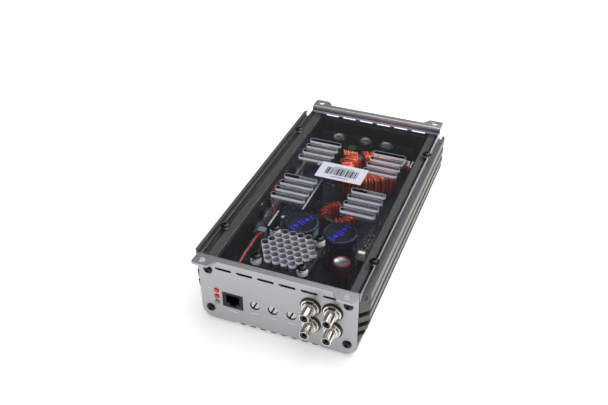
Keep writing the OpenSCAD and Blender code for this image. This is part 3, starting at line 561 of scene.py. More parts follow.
def make_finishes():
    made = {
        # Painted shade: near black painted over the case's inside, and over the end panels' inner faces
        # below the cover, where the inside lies in shadow.
        "case": darken_where(case_metal(), (0, "inside", 62.7), (2, "below", 58.1)),
        "panel": darken_where(panel_metal("front_silver"), (1, "above", -131.75), (2, "below", 66)),
        "rear_panel": darken_where(panel_metal("rear_silver"), (1, "below", 131.75), (2, "below", 64.6)),
        "screw": black_screw(),
        "clear": clear_sheet(),
        # Painted shade: the side edges' colour within the sheet, and the slot and fan-hole walls' colours
        # from the air, are darker copies of the cut acrylic's own pale colour.
        "sawn": two_sided("sawn_acrylic", srgb(216, 218, 236), 0, srgb(120, 122, 136), 0.0),
        "rear_sawn": two_sided("sawn_acrylic_rear", srgb(216, 218, 236), 0, srgb(214, 217, 246), 1.0),
        "milled": two_sided("slot_wall_acrylic_painted_shade", srgb(70, 72, 86), 0.25, srgb(246, 247, 255), 0.35),
        "drilled": two_sided("hole_wall_acrylic_painted_shade", srgb(128, 131, 138), 0.3, srgb(232, 234, 240), 0.3),
        "rim": two_sided("cut_rim", srgb(235, 237, 252), 0.1, srgb(235, 237, 252), 0.6),
        "nylon": nylon(),
        "board": solder_mask(),
        "nickel": plated("bright_nickel", srgb(222, 218, 210), 0.12),
        "zinc": plated("zinc_plate", srgb(178, 179, 182), 0.3),
        "gold": plated("gold_flash", srgb(224, 186, 112), 0.22),
        "brass": plated("turned_brass", srgb(196, 160, 90), 0.3),
        "solder": plated("solder", srgb(190, 194, 200), 0.26),
        "can": brushed_can(),
        "black": moulded("black_moulding", srgb(24, 24, 27), 0.42),
        "fan": moulded("fan_moulding", srgb(15, 15, 17), 0.4, Specular_IOR_Level=0.25),
        "chip": moulded("chip_epoxy", srgb(24, 24, 26), 0.5, grain=2600, Specular_IOR_Level=0.2),
        "grey": moulded("grey_plug", srgb(92, 97, 112), 0.45),
        # The header is darker below 26.5 mm.
        "ivory": darken_where(moulded("ivory_header", srgb(236, 235, 224), 0.4), (2, "below", 26.5)),
        "bezel": moulded("jack_moulding", srgb(22, 25, 33), 0.4, Specular_IOR_Level=0.3),
        "dielectric": moulded("phono_insulator", srgb(22, 28, 40), 0.3),
        "disc": moulded("trimmer_disc", srgb(244, 246, 246), 0.38),
        "pad": moulded("insulating_pad", srgb(44, 44, 43), 0.7, Specular_IOR_Level=0.2),
        "olive": moulded("film_box", srgb(78, 78, 56), 0.5),
        "core": moulded("ferrite_core", srgb(30, 36, 32), 0.6, grain=900, depth=0.06),
        "navy": sleeve("navy_sleeve", srgb(13, 15, 44)),
        "navy_top": moulded("navy_top", srgb(5, 6, 26), 0.65, grain=400, Specular_IOR_Level=0.1),
        "pale_blue": sleeve("pale_blue", srgb(120, 160, 178)),
        "shade": moulded("painted_groove_shade", srgb(10, 10, 11), 0.6),
        "deep_wire": enamel_wire("deep_enamel", srgb(206, 84, 40), srgb(110, 34, 16)),
        "deep_red_lead": moulded("deep_red_lead", srgb(120, 14, 18), 0.4),
        "bare_edge": moulded("bare_board_edge", srgb(150, 164, 158), 0.6),
        "blue_print": moulded("blue_print", srgb(24, 26, 170), 0.6, Specular_IOR_Level=0.15),
        "grey_print": sleeve("grey_print", srgb(120, 140, 165)),
        "crimson": sleeve("crimson_sleeve", srgb(88, 18, 26)),
        "dark": sleeve("dark_sleeve", srgb(22, 22, 26)),
        "red_wire": enamel_wire("red_enamel", srgb(214, 56, 44), srgb(120, 18, 15)),
        "dark_red": enamel_wire("dark_red_enamel", srgb(132, 26, 22), srgb(60, 9, 9)),
        "bright_red": enamel_wire("bright_red_enamel", srgb(226, 34, 26), srgb(140, 14, 12)),
        "copper_wire": enamel_wire("copper_enamel", srgb(222, 126, 62), srgb(150, 62, 24)),
        "lead_red": moulded("red_insulation", srgb(172, 14, 20), 0.36),
        "lead_black": moulded("black_insulation", srgb(16, 16, 17), 0.32),
        "label": moulded("label_film", srgb(226, 229, 243), 0.35, depth=0.008),
        "ink": moulded("black_ink", srgb(12, 12, 18), 0.5, depth=0.004),
        "white_ink": moulded("white_ink", srgb(238, 238, 240), 0.5, depth=0.004),
        "led_on": lamp_lens("red_lens_lit", srgb(205, 14, 24), 0.12),
        "led_off": lamp_lens("clear_lens", srgb(150, 146, 156), 0.0),
    }
    return made


FINISH_OF_NODE = {
    "case": ["heatsink_case"],
    "panel": ["front_end_panel"],
    "rear_panel": ["rear_end_panel"],
    "screw": ["end_panel_screws", "cover_screws", "fan_screws",
              "battery_terminal_screws", "speaker_terminal_screws"],
    "fan": ["fan_frame", "fan_rotor"],
    "zinc": ["fan_nuts", "board_screws", "clamp_bar_left", "clamp_bar_right"],
    "nylon": ["fan_spacers"],
    "ivory": ["board_connectors"],
    "lead_red": ["fan_wire_red"],
    "lead_black": ["fan_wire_black"],
    "grey": ["fan_plug"],
    "board": ["main_board", "driver_board", "control_board", "trimmer_board"],
    "brass": ["board_standoffs"],
    "navy": ["reservoir_capacitors"],
    "crimson": ["input_capacitor"],
    "dark": ["output_capacitors"],
    "core": ["transformer_core", "choke_core"],
    "copper_wire": ["transformer_winding", "filter_coil"],
    "red_wire": ["choke_winding"],
    "olive": ["film_capacitor"],
    "chip": ["surface_chips", "transistors_left", "transistors_right"],
    "black": ["phono_block", "trimmer_bodies", "led_holder", "phono_washers",
              "battery_terminal_block", "speaker_terminal_block"],
    "bezel": ["data_jack_housing"],
    "dielectric": ["phono_insulators"],
    "pad": ["thermal_pads"],
    "nickel": ["phono_shells", "phono_nuts"],
    "gold": ["phono_contacts", "data_jack_contacts",
             "battery_terminal_inserts", "speaker_terminal_inserts"],
    "disc": ["gain_trimmer", "crossover_trimmer", "bass_trimmer"],
    "led_on": ["status_leds"],
    "clear": ["clear_cover"],
    "label": ["cover_label"],
}


def dress_cad_nodes():
    for finish, names in FINISH_OF_NODE.items():
        for name in names:
            data = NODES[name].data
            data.materials.clear()
            data.materials.append(FINISH[finish].material)


# ---------------------------------------------------------------- the clear cover and its label

VENT_SIZE = (32 * MM, 5 * MM)
VENT_PITCH = 10.6 * MM
VENT_CENTRE_X = 32.7 * MM
VENT_GROUP_Y = (56.4 * MM, -11.6 * MM)
FAN_HOLE_PITCH = 7 * MM
FAN_HOLE_R = 3 * MM
SCREW_HOLE_R = 2.1 * MM
COVER_SCREW_R = 1.8 * MM


def cover_holes():
    """Outlines of every air slot, fan hole and screw hole, as on the CAD cover."""
    holes = []
    for side in (-1, 1):
        for group in VENT_GROUP_Y:
            for i in range(4):
                y = group + (i - 1.5) * VENT_PITCH
                holes.append(stadium_points(side * VENT_CENTRE_X, y, *VENT_SIZE))
    fan = middle("fan_rotor")
    for row in range(-3, 4):
        count = 7 - abs(row)
        for i in range(count):
            x = fan.x + (i - (count - 1) / 2) * FAN_HOLE_PITCH
            y = fan.y + row * FAN_HOLE_PITCH * math.sin(math.radians(60))
            holes.append(circle_points(x, y, FAN_HOLE_R, 28))
    for node, radius in (("fan_screws", SCREW_HOLE_R), ("cover_screws", COVER_SCREW_R)):
        for x, y in screw_places(node):
            holes.append(circle_points(x, y, radius, 24))
    return holes


def screw_places(node):
    """Axes of the upright screws of a node, from the corners of its box."""
    low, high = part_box(node)
    head = SCREW_HEAD_R[node]
    return [(x, y) for x in (low[0] + head, high[0] - head) for y in (low[1] + head, high[1] - head)]


SCREW_HEAD_R = {"fan_screws": 4.5 * MM, "cover_screws": 4.3 * MM}


SIDE_CHAMFER = 0.35 * MM


def chamfer_sides(bm, low, high):
    """Widens the rim on the sheet's two long top edges to a sawn chamfer."""
    for v in bm.verts:
        if abs(v.co.x) < high[0] - 0.3 * MM or v.co.z < high[2] - 0.3 * MM:
            continue
        if v.co.z > high[2] - 0.02 * MM:
            v.co.x -= math.copysign(SIDE_CHAMFER, v.co.x)
        else:
            v.co.z -= SIDE_CHAMFER * 0.8


def make_cover():
    low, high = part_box("clear_cover")
    sheet = [(low[0], low[1]), (high[0], low[1]), (high[0], high[1]), (low[0], high[1])]
    bm = curve_solid("clear_cover_sheet", [sheet] + cover_holes(), high[2] - low[2], bevel=0.2 * MM)
    for v in bm.verts:
        v.co.z += (high[2] + low[2]) / 2
    chamfer_sides(bm, low, high)
    bm.normal_update()
    fan = middle("fan_rotor")
    screws = screw_places("fan_screws") + screw_places("cover_screws")
    for face in bm.faces:
        spot, up = face.calc_center_median(), abs(face.normal.z)
        at_side = abs(spot.x) > high[0] - SIDE_CHAMFER * 0.9
        at_end = abs(spot.y) > high[1] - 0.3 * MM
        near_fan = (Vector((spot.x, spot.y)) - Vector((fan.x, fan.y))).length < 26 * MM
        screw_hole = any((spot.xy - Vector(p)).length < 2.6 * MM for p in screws)
        # The side edges, slot walls and fan-hole walls get the finishes with painted shade on one side; the
        # ends and screw holes get the paler end finish.
        if up > 0.95:
            face.material_index = 0
        elif screw_hole:
            face.material_index = 2
        elif at_side or at_end:
            face.material_index = 2 if at_end else 1
        elif up > 0.3:
            face.material_index = 5
        else:
            face.material_index = 4 if near_fan else 3
    finishes = [FINISH[k] for k in ("clear", "sawn", "rear_sawn", "milled", "drilled", "rim")]
    finish_piece("clear_cover_sheet", bm, finishes, smooth=False, replaces=["clear_cover"])


def make_label():
    """Rows of printed bars on the plain film label."""
    low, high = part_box("cover_label")
    centre = middle("cover_label")
    bars = bmesh.new()
    rng = random.Random(7)
    x = low[0] + 7 * MM
    while x < high[0] - 7 * MM:
        width = rng.choice((0.7, 0.7, 1.2, 1.8)) * MM
        add_box(bars, (x, centre.y - 5.6 * MM, high[2] - 0.04 * MM),
                (x + width, centre.y + 6 * MM, high[2] + 0.02 * MM))
        x += width + rng.choice((0.5, 0.5, 0.9)) * MM
    for row, first, last in ((7.6, -9, 9), (-8.6, -8, 8)):
        x = first
        while x < last:
            width = rng.uniform(0.8, 1.5)
            add_box(bars, ((x) * MM, centre.y + (row - 0.7) * MM, high[2] - 0.04 * MM),
                    ((x + width) * MM, centre.y + (row + 0.7) * MM, high[2] + 0.02 * MM))
            x += width + 0.7
    finish_piece("label_bars", bars, FINISH["ink"], smooth=False)


# ---------------------------------------------------------------- wound parts

def wound_ring(name, node, strands, turns, wire_mm, spans, replaces):
    """Turns of enamelled wire around a ring core, wound in the given spans of degrees."""
    low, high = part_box(node)
    centre = middle(node)
    outer = (high[0] - low[0]) / 2
    bore = outer * 0.42
    r = wire_mm * MM
    bm = bmesh.new()
    rng = random.Random(len(name) + turns)
    whole = sum(end - start for start, end in spans)
    for start, end in spans:
        count = round(turns * (end - start) / whole)
        step = math.radians((end - start) / count)
        for i in range(count):
            angle = math.radians(start) + i * step
            lift = rng.uniform(0, 0.35) * MM
            inner = bore + r + (1.3 * MM if i % 2 else 0) + lift
            out = outer - r - rng.uniform(0, 0.25) * MM
            angle += rng.uniform(-0.16, 0.16) * step
            heights = (low[2] + r, high[2] - r - lift)
            add_turn(bm, centre, angle, step, (inner, out), heights, r, i % strands)
    names = ("bright_red", "copper_wire", "deep_wire") if strands > 2 else ("red_wire", "dark_red")
    colours = [FINISH[k] for k in names]
    return finish_piece(name, bm, colours, replaces=replaces)


SKEW = 1.6


def add_turn(bm, centre, angle, step, radii, heights, wire, material):
    """One turn: up the outside, in over the top, down the bore and out under the ring."""
    inner, out = radii
    low, high = heights
    bend = min(3 * MM, (high - low) / 4)
    loop = [(out, low + bend), (out, (low + high) / 2), (out, high - bend),
            (out - 0.3 * bend, high - 0.3 * bend), (out - bend, high),
            ((out + inner) / 2, high), (inner + bend, high),
            (inner + 0.3 * bend, high - 0.3 * bend), (inner, high - bend), (inner, (low + high) / 2),
            (inner, low + bend), (inner + 0.3 * bend, low + 0.3 * bend), (inner + bend, low),
            (out - bend, low), (out - 0.3 * bend, low + 0.3 * bend)]
    points = []
    for k, (radius, z) in enumerate(loop):
        a = angle + step * (k / len(loop) + SKEW * (radius - inner) / (out - inner))
        points.append(Vector((centre.x + radius * math.cos(a), centre.y + radius * math.sin(a), z)))
    add_tube(bm, points, wire, sides=7, closed=True, material=material)


def make_transformer():
    wound_ring("transformer_turns", "transformer_winding", 3, 54, 1.15, [(-185, 118), (140, 168)],
               ["transformer_winding"])
    top_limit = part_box("transformer_winding")[1][2] + 3 * MM
    bm = bmesh.new()
    for i in range(7):
        x = -21 + 2.2 * i
        top = [(x, 98.5, 16), (x, 98.8, 30), (x - 0.3, 97.5, 38), (x + 0.6, 94.5, 41), (x + 3, 90, 38.5)]
        add_tube(bm, smooth_path([Vector(p) * MM for p in top]), 0.95 * MM, material=i % 2)
    for v in bm.verts:
        v.co.z = min(v.co.z, top_limit)
    finish_piece("transformer_leads", bm, [FINISH["copper_wire"], FINISH["deep_wire"]])


def make_choke():
    wound_ring("choke_turns", "choke_winding", 2, 26, 0.9, [(-95, 60), (95, 208)],
               ["choke_winding"])


def make_coil():
    low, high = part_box("filter_coil")
    centre = middle("filter_coil")
    r = 0.8 * MM
    turns = int((high[2] - low[2]) / (2.05 * r))
    points = []
    for i in range(turns * 20 + 1):
        a = 2 * math.pi * i / 20
        z = low[2] + r + (high[2] - low[2] - 2 * r) * i / (turns * 20)
        reach = (high[0] - low[0]) / 2 - r
        points.append(Vector((centre.x + reach * math.cos(a), centre.y + reach * math.sin(a), z)))
    bm = bmesh.new()
    add_tube(bm, points, r)
    finish_piece("filter_coil_turns", bm, FINISH["copper_wire"], replaces=["filter_coil"])


# ---------------------------------------------------------------- capacitors

def can_profile(radius, height):
    """A can with a rolled foot groove and a sleeve turned in over its top."""
    return [(0, 0), (radius - 0.9, 0), (radius - 0.25, 0.35), (radius, 1.2), (radius, 2.6),
            (radius - 0.8, 3.3), (radius - 0.8, 4.0), (radius, 4.7),
            (radius, height - 1.6), (radius - 0.18, height - 0.8),
            (radius - 0.7, height - 0.25), (radius - 1.4, height), (radius - 2.1, height - 0.05),
            (radius - 2.4, height - 0.45), (0, height - 0.45)]


def make_can(name, x, y, low_z, high_z, radius, finishes, top_band):
    """One capacitor: sleeve, and its top in the second finish."""
    bm = bmesh.new()
    height = (high_z - low_z) / MM
    profile = can_profile(radius, height)
    bands = [1 if i >= len(profile) - 1 - top_band else 0 for i in range(len(profile) - 1)]
    add_lathe(bm, profile, (x * MM, y * MM, low_z), segments=72, bands=bands)
    return finish_piece(name, bm, finishes)


def side_mark(bm, place, radius, angle, width, z_low, z_high):
    """A small block of ink on the side of a can."""
    spread = width / radius / 2
    ends = [math.radians(angle) - spread, math.radians(angle) + spread]
    steps = 6
    inner, outer = [], []
    for k in range(steps + 1):
        a = ends[0] + (ends[1] - ends[0]) * k / steps
        for z in (z_low, z_high):
            for group, reach in ((inner, radius - 0.1 * MM), (outer, radius + 0.05 * MM)):
                x, y = place[0] + reach * math.cos(a), place[1] + reach * math.sin(a)
                group.append(bm.verts.new((x, y, z)))
    for k in range(steps):
        i = 2 * k
        bm.faces.new((outer[i], outer[i + 2], outer[i + 3], outer[i + 1]))
        bm.faces.new((inner[i + 1], inner[i + 3], inner[i + 2], inner[i]))
        bm.faces.new((outer[i + 1], outer[i + 3], inner[i + 3], inner[i + 1]))
        bm.faces.new((inner[i], inner[i + 2], outer[i + 2], outer[i]))
    for i in (0, 2 * steps):
        bm.faces.new((inner[i], outer[i], outer[i + 1], inner[i + 1]))


RESERVOIRS = ((-12.5, -44.5, 62), (23.6, -46.1, 70))
RESERVOIR_R = 15.5
TOP_BARS = ((-11.4, 3.4), (-1.6, 4.2), (1.4, 3.0), (11.2, 3.0))
TOP_LOZENGES = (-6.4, 6.2)


def make_reservoirs():
    low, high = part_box("reservoir_capacitors")
    for i, (x, y, tilt) in enumerate(RESERVOIRS):
        piece = make_can(f"reservoir_{i + 1}", x, y, low[2], high[2], RESERVOIR_R,
                         [FINISH["navy"], FINISH["navy_top"]], 2)
        if i == 0:
            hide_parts("reservoir_capacitors")
        print_on_top(f"reservoir_print_{i + 1}", (x, y), tilt, high[2] - 0.45 * MM)
    marks = bmesh.new()
    x, y, _ = RESERVOIRS[1]
    rng = random.Random(11)
    for row in range(3):
        for k in range(4):
            side_mark(marks, (x * MM, y * MM), RESERVOIR_R * MM, 232 + 9 * row, 1.1 * MM,
                      high[2] - (8 + 4.2 * k) * MM, high[2] - (8 + 4.2 * k - rng.uniform(1.6, 3)) * MM)
    finish_piece("reservoir_side_marks", marks, FINISH["grey_print"], smooth=False)
    patch = bmesh.new()
    x, y, _ = RESERVOIRS[0]
    side_mark(patch, (x * MM, y * MM), RESERVOIR_R * MM, -14, 8 * MM, high[2] - 11 * MM, high[2] - 2 * MM)
    finish_piece("reservoir_polarity_stripe", patch, FINISH["pale_blue"], smooth=False)


def print_on_top(name, place, tilt, z):
    """Plain lozenges and bars printed across a can's top."""
    bm = bmesh.new()
    turn = Matrix.Rotation(math.radians(tilt), 3, "Z")
    ink = 0.06 * MM
    for along, half in TOP_BARS:
        add_box(bm, ((along - 0.8) * MM, -half * MM, 0), ((along + 0.8) * MM, half * MM, ink))
    for along in TOP_LOZENGES:
        made = add_box(bm, (-1.9 * MM, -1.9 * MM, 0), (1.9 * MM, 1.9 * MM, ink))
        bmesh.ops.rotate(bm, verts=made, cent=(0, 0, 0), matrix=Matrix.Rotation(math.radians(45), 3, "Z"))
        bmesh.ops.translate(bm, verts=made, vec=(along * MM, 0, 0))
    for v in bm.verts:
        spot = turn @ v.co
        v.co = Vector((place[0] * MM + spot.x, place[1] * MM + spot.y, z + v.co.z))
    finish_piece(name, bm, FINISH["blue_print"], smooth=False)


def make_small_cans():
    low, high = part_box("input_capacitor")
    piece = make_can("input_can", 34.5, -74.5, low[2], high[2], 8, [FINISH["crimson"], FINISH["can"]],
                     1)
    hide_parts("input_capacitor")
    score_top("input_can_score", 34.5, -74.5, high[2] - 0.45 * MM)
    low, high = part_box("output_capacitors")
    for i, (x, y) in enumerate(((-33, 114.6), (-4.7, 116.4), (17.7, 115.6))):
        piece = make_can(f"output_can_{i + 1}", x, y, low[2], high[2], 8, [FINISH["dark"], FINISH["can"]],
                         1)
        if i == 0:
            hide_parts("output_capacitors")
        score_top(f"output_can_score_{i + 1}", x, y, high[2] - 0.45 * MM)


def score_top(name, x, y, z):
    """The pressed lines on a can's top where it would vent, drawn as thin near-black tubes: painted shade in
    the pressed grooves.
    """
    bm = bmesh.new()
    for angle in (25, 85, 145):
        half = Vector((math.cos(math.radians(angle)), math.sin(math.radians(angle)), 0)) * 4.6 * MM
        centre = Vector((x * MM, y * MM, z))
        add_tube(bm, [centre - half, centre, centre + half], 0.16 * MM, sides=6)
    finish_piece(name, bm, FINISH["shade"])


# ---------------------------------------------------------------- the fan

FAN_CENTRE = (-5 * MM, -94 * MM)


SHAFT_R = 1.5
SHAFT_DROP = 0.4
HUB_ROOF = 1.4


def make_fan_rotor():
    low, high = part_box("fan_rotor")
    bottom, top = low[2] + SHAFT_DROP * MM, high[2]
    bm = bmesh.new()
    rise = (top - bottom) / MM
    roof = rise - HUB_ROOF
    # an open cup over the motor's boss, with its own shaft down the middle
    hub = [(0, -SHAFT_DROP), (SHAFT_R, -SHAFT_DROP), (SHAFT_R, roof), (9.8, roof), (9.8, 0.2), (10.0, 0),
           (11, 0), (11, rise - 1.0), (10.7, rise - 0.35), (10.0, rise), (6.2, rise),
           (6.0, rise - 0.12), (0, rise - 0.12)]
    add_lathe(bm, hub, (*FAN_CENTRE, bottom), segments=72)
    blades = 7
    for b in range(blades):
        add_blade(bm, 2 * math.pi * b / blades, bottom + 0.2 * MM, top - 0.3 * MM)
    finish_piece("fan_impeller", bm, FINISH["fan"], body="fan_rotor", replaces=["fan_rotor"])


def add_blade(bm, turn, low, high):
    """A twisted blade swept from the hub to just inside the shroud."""
    radii = [10.6, 13, 15.5, 18, 20.3, 22.3]
    chord_steps = 6
    grid = {}
    for i, radius in enumerate(radii):
        spread = math.radians(40 - 1.1 * (radius - 10.6))
        lean = math.radians(2.2 * (radius - 10.6))
        for j in range(chord_steps + 1):
            share = j / chord_steps
            angle = turn + lean + spread * (share - 0.5)
            z = low + (high - low) * (share ** 1.15)
            for side in (0, 1):
                spot = (FAN_CENTRE[0] + radius * MM * math.cos(angle),
                        FAN_CENTRE[1] + radius * MM * math.sin(angle),
                        z + (0.55 * MM if side else -0.55 * MM) * (1 - abs(2 * share - 1) ** 3))
                grid[i, j, side] = bm.verts.new(spot)
    last = len(radii) - 1
    for i in range(last):
        for j in range(chord_steps):
            bm.faces.new([grid[k] for k in ((i, j, 1), (i + 1, j, 1), (i + 1, j + 1, 1), (i, j + 1, 1))])
            bm.faces.new([grid[k] for k in ((i, j, 0), (i, j + 1, 0), (i + 1, j + 1, 0), (i + 1, j, 0))])
        for j in (0, chord_steps):
            bm.faces.new([grid[k] for k in ((i, j, 0), (i + 1, j, 0), (i + 1, j, 1), (i, j, 1))])
    for i in (0, last):
        for j in range(chord_steps):
            bm.faces.new([grid[k] for k in ((i, j, 0), (i, j + 1, 0), (i, j + 1, 1), (i, j, 1))])


RED_ROUTE = [(-41.5, -66.6, 46), (-41.5, -69.5, 46.4), (-41.2, -74, 49.2), (-40.2, -80, 51.5),
             (-39.4, -92, 52.5), (-39.2, -105, 53), (-38, -117, 53.4), (-34.5, -124.5, 53.6),
             (-30.5, -126.4, 52.6), (-27, -124.5, 51.5), (-26, -121.5, 50), (-26, -119.6, 49.5)]
BLACK_ROUTE = [(-43.5, -66.6, 46), (-43.5, -69.5, 46.3), (-43.4, -74, 47.8), (-43.2, -80, 49),
               (-42.4, -92, 49.5), (-42, -105, 49.5), (-40.8, -117, 49), (-37, -123.6, 48.6),
               (-32.6, -125.4, 48.4), (-29.6, -124, 48.2), (-28.6, -121.5, 48.1), (-28.6, -119.6, 48)]


def make_fan_wires():
    for name, route, finish, slot in (("fan_lead_red", RED_ROUTE, "lead_red", "red_wire"),
                                      ("fan_lead_black", BLACK_ROUTE, "lead_black", "black_wire")):
        bm = bmesh.new()
        add_tube(bm, smooth_path([Vector(p) * MM for p in route], 8), 0.68 * MM, sides=14)
        finish_piece(name, bm, FINISH[finish], replaces=[name.replace("lead", "wire")])


# ---------------------------------------------------------------- the signal end

PHONO_X = (29, 47.4)
PHONO_Z = (24.6, 42.8)
FACE_Y = -132


def phono_places():
    return [(x * MM, FACE_Y * MM, z * MM) for z in PHONO_Z for x in PHONO_X]


def make_phonos():
    shells, nuts, washers, cores = (bmesh.new() for _ in range(4))
    barrel = [(4.6, 1.4), (4.6, 3.2), (4.45, 3.5), (4.15, 3.7), (4.15, 5.0), (4.4, 5.2), (4.4, 6.2),
              (4.15, 6.4), (4.15, 14.5), (4.0, 14.85), (3.8, 15.0), (3.45, 15.0), (3.3, 14.8), (3.3, 12.4)]
    for place in phono_places():
        add_lathe(shells, barrel, place, "-Y", 56)
        add_lathe(washers, [(4.2, -0.1), (8.8, -0.1), (8.8, 0.75), (8.5, 1.0), (4.2, 1.0)], place, "-Y", 64)
        add_lathe(nuts, [(4.3, 1.0), (7.75, 1.0), (7.75, 1.9), (7.5, 2.2), (6.4, 2.2)], place, "-Y", 56)
        add_lathe(nuts, [(6.6, 2.1), (6.6, 4.2), (6.1, 4.6), (4.3, 4.6)], place, "-Y", 6)
        for k in range(3):
            ring = 3.75 + 0.45 * k
            add_lathe(shells, [(4.1, ring + 1.6), (4.32, ring + 1.75), (4.1, ring + 1.9)], place, "-Y", 40)
        core = [(3.35, 12.3), (3.2, 14.3), (1.75, 14.3), (1.6, 13.9), (1.55, 8.0)]
        add_lathe(cores, core, place, "-Y", 48)
    finish_piece("phono_barrels", shells, FINISH["nickel"], replaces=["phono_shells"])
    nut = finish_piece("phono_hex_nuts", nuts, FINISH["nickel"], smooth=False,
                       replaces=["phono_nuts"])
    soften(nut, 0.15, 2, 25)
    finish_piece("phono_isolating_washers", washers, FINISH["black"],
                 replaces=["phono_washers"])
    finish_piece("phono_dielectrics", cores, FINISH["dielectric"])


TRIMMER_X = (-19.4, -3.6, 12.5)
TRIMMER_BODIES = ("gain_trimmer", "crossover_trimmer", "bass_trimmer")
TRIMMER_Z = 27.1
TRIMMER_REST = 25


def make_trimmers():
    """White screwdriver discs, each with a near-black bar across it: painted shade standing for the slot."""
    for x, body in zip(TRIMMER_X, TRIMMER_BODIES):
        face_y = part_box(body)[0][1]
        centre = Vector((x * MM, face_y + 0.2 * MM, TRIMMER_Z * MM))
        bm = bmesh.new()
        disc = [(0, -3.2), (3.7, -3.2), (3.85, -3.0), (3.85, -0.25), (3.65, 0), (0, 0)]
        add_lathe(bm, disc, centre, "-Y", 56)
        piece = finish_piece(f"{body}_disc", bm, FINISH["disc"], body=body,
                             replaces=[body])
        soften(piece, 0.05, 1, 50)
        # A near-black bar on the disc's face: painted shade in the slot.
        slot = bmesh.new()
        made = add_box(slot, (-0.75 * MM, -0.06 * MM, -3.72 * MM), (0.75 * MM, 0.6 * MM, 3.72 * MM))
        bmesh.ops.rotate(slot, verts=made, cent=(0, 0, 0),
                         matrix=Matrix.Rotation(math.radians(TRIMMER_REST), 3, "Y"))
        bmesh.ops.translate(slot, verts=made, vec=centre)
        finish_piece(f"{body}_slot", slot, FINISH["shade"], body=body, smooth=False)


LED_X = -53.7
LED_Z = ((33.3, "led_on"), (26.7, "led_on"), (20.5, "led_off"))


def make_leds():
    dome = [(0, -5), (2.75, -5), (2.75, -4), (2.4, -4), (2.4, 0.1)]
    for k in range(1, 7):
        a = math.radians(15 * k)
        dome.append((2.4 * math.cos(a), 0.1 + 1.3 * math.sin(a)))
    dome[-1] = (0, 1.4)
    for i, (z, finish) in enumerate(LED_Z):
        bm = bmesh.new()
        add_lathe(bm, dome, (LED_X * MM, FACE_Y * MM, z * MM), "-Y", 40)
        piece = finish_piece(f"status_led_{i + 1}", bm, FINISH[finish])
        if i == 0:
            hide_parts("status_leds")


def print_dash(bm, x, z, width, height):
    add_box(bm, ((x - width / 2) * MM, (FACE_Y - 0.04) * MM, (z - height / 2) * MM),
            ((x + width / 2) * MM, (FACE_Y + 0.05) * MM, (z + height / 2) * MM))


def make_panel_print():
    """Plain white marks: a scale around each control and a dash at each lamp and socket."""
    bm = bmesh.new()
    for x in TRIMMER_X:
        for k in range(7):
            angle = math.radians(-110 + 45 * k)
            reach = 5.9
            print_dash(bm, x + reach * math.sin(angle), TRIMMER_Z + reach * math.cos(angle), 0.55, 0.55)
        print_dash(bm, x, TRIMMER_Z - 8.6, 6.5, 0.7)
    for z, _ in LED_Z:
        print_dash(bm, LED_X - 5.6, z + 0.6, 4.4, 0.7)
    print_dash(bm, -39.4, 14.4, 8.5, 0.7)
    for x, z in ((19.6, 33.6), (20.8, 15.2), (38.2, 15.4)):
        print_dash(bm, x, z, 2.6, 0.6)
    finish_piece("panel_print", bm, FINISH["white_ink"], smooth=False)


# ---------------------------------------------------------------- boards

def make_chips():
    """Small parts scattered over the open places of the boards."""
    rng = random.Random(21)
    bodies, ends = bmesh.new(), bmesh.new()
    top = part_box("main_board")[1][2]
    fields = ((33, 53, -40, 30, 46), (-54, -42, -30, 60, 26), (34, 48, -42, 4, 110),
              (32, 53, 106, 112, 3), (20, 54, -118, -88, 26), (-30, -22, 60, 84, 10))
    for x0, x1, y0, y1, count in fields:
        for _ in range(count):
            x, y = rng.uniform(x0, x1) * MM, rng.uniform(y0, y1) * MM
            add_small_part(bodies, ends, (x, y, top), rng)
    add_box(bodies, (41 * MM, -49 * MM, top), (47 * MM, -45.5 * MM, top + 20 * MM), 2)
    finish_piece("small_parts", bodies, [FINISH["chip"], FINISH["pad"], FINISH["ivory"]],
                 smooth=False)
    finish_piece("small_part_ends", ends, FINISH["solder"], smooth=False)


def add_small_part(bodies, ends, place, rng):
    """A resistor, a ceramic or a small package with its soldered ends."""
    x, y, z = place
    long, wide, tall = rng.choice(((2.0, 1.25, 0.6), (3.2, 1.6, 0.9), (2.6, 1.8, 1.1), (1.6, 0.8, 0.5)))
    if rng.random() < 0.5:
        long, wide, flip = wide, long, True
    else:
        flip = False
    half = Vector((long / 2, wide / 2, 0)) * MM
    add_box(bodies, (x - half.x, y - half.y, z), (x + half.x, y + half.y, z + tall * MM),
            rng.choice((0, 1, 2, 2)))
    rim = 0.25 * MM
    for side in (-1, 1):
        if flip:
            low = (x - half.x * 0.94, y + side * (half.y + rim / 2) - rim, z)
            high = (x + half.x * 0.94, y + side * (half.y + rim / 2) + rim, z + tall * 0.92 * MM)
        else:
            low = (x + side * (half.x + rim / 2) - rim, y - half.y * 0.94, z)
            high = (x + side * (half.x + rim / 2) + rim, y + half.y * 0.94, z + tall * 0.92 * MM)
        add_box(ends, low, high)


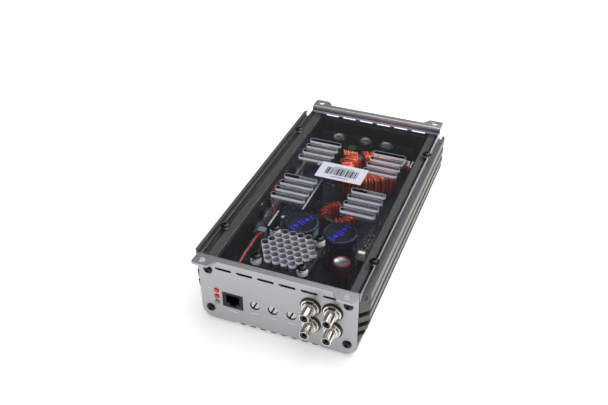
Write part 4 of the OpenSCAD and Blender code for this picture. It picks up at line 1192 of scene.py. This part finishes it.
PALE_EDGES = (((-19.5, -27, 49.9), (-17.9, 24, 50.06)), ((-38.6, -60, 49.9), (-37, -36, 50.06)))
HOOKUP_RED = (
    [(-56.5, 20, 44), (-57, 8, 48), (-56, -4, 48.5), (-50, -18, 49), (-43, -33, 49), (-38.2, -38, 46)],
    [(-57.5, 24, 40), (-58.5, 10, 45), (-58, -3, 46.5), (-52, -20, 47.5), (-45, -34, 47.5),
     (-38.2, -42, 44)],
)
RED_BAND = [(36, 92, 33), (41, 92, 35), (48, 91, 35), (54, 90, 32)]


def make_hookup():
    """Thin wires and a ribbon laid over the boards, and the boards' bare top edges."""
    bm = bmesh.new()
    for route in HOOKUP_RED:
        add_tube(bm, smooth_path([Vector(p) * MM for p in route], 8), 0.45 * MM, sides=8)
    for k in range(4):
        route = [Vector((x, y, z + 1.4 * k)) * MM for x, y, z in RED_BAND]
        add_tube(bm, smooth_path(route, 8), 0.7 * MM, sides=8)
    finish_piece("hookup_wires", bm, FINISH["deep_red_lead"])
    edges = bmesh.new()
    for low, high in PALE_EDGES:
        add_box(edges, Vector(low) * MM, Vector(high) * MM)
    finish_piece("board_top_edges", edges, FINISH["bare_edge"], smooth=False)


SOFT_EDGES = {
    0.15: ["front_end_panel", "rear_end_panel"],
    0.2: ["heatsink_case", "battery_terminal_block", "speaker_terminal_block", "fan_frame", "clamp_bar_left",
          "clamp_bar_right", "data_jack_housing", "fan_plug", "board_connectors", "film_capacitor"],
    0.1: ["transistors_left", "transistors_right", "end_panel_screws", "cover_screws", "fan_screws",
          "fan_spacers", "battery_terminal_inserts", "speaker_terminal_inserts", "board_screws"],
}


def soften_cad_nodes():
    for width, names in SOFT_EDGES.items():
        for name in names:
            soften(NODES[name], width)


FINISH = make_finishes()
make_camera()
make_lights()
make_floor()
dress_cad_nodes()
make_cover()
make_label()
make_transformer()
make_choke()
make_coil()
make_reservoirs()
make_small_cans()
make_fan_rotor()
make_fan_wires()
make_phonos()
make_trimmers()
make_leds()
make_panel_print()
make_chips()
make_hookup()
soften_cad_nodes()
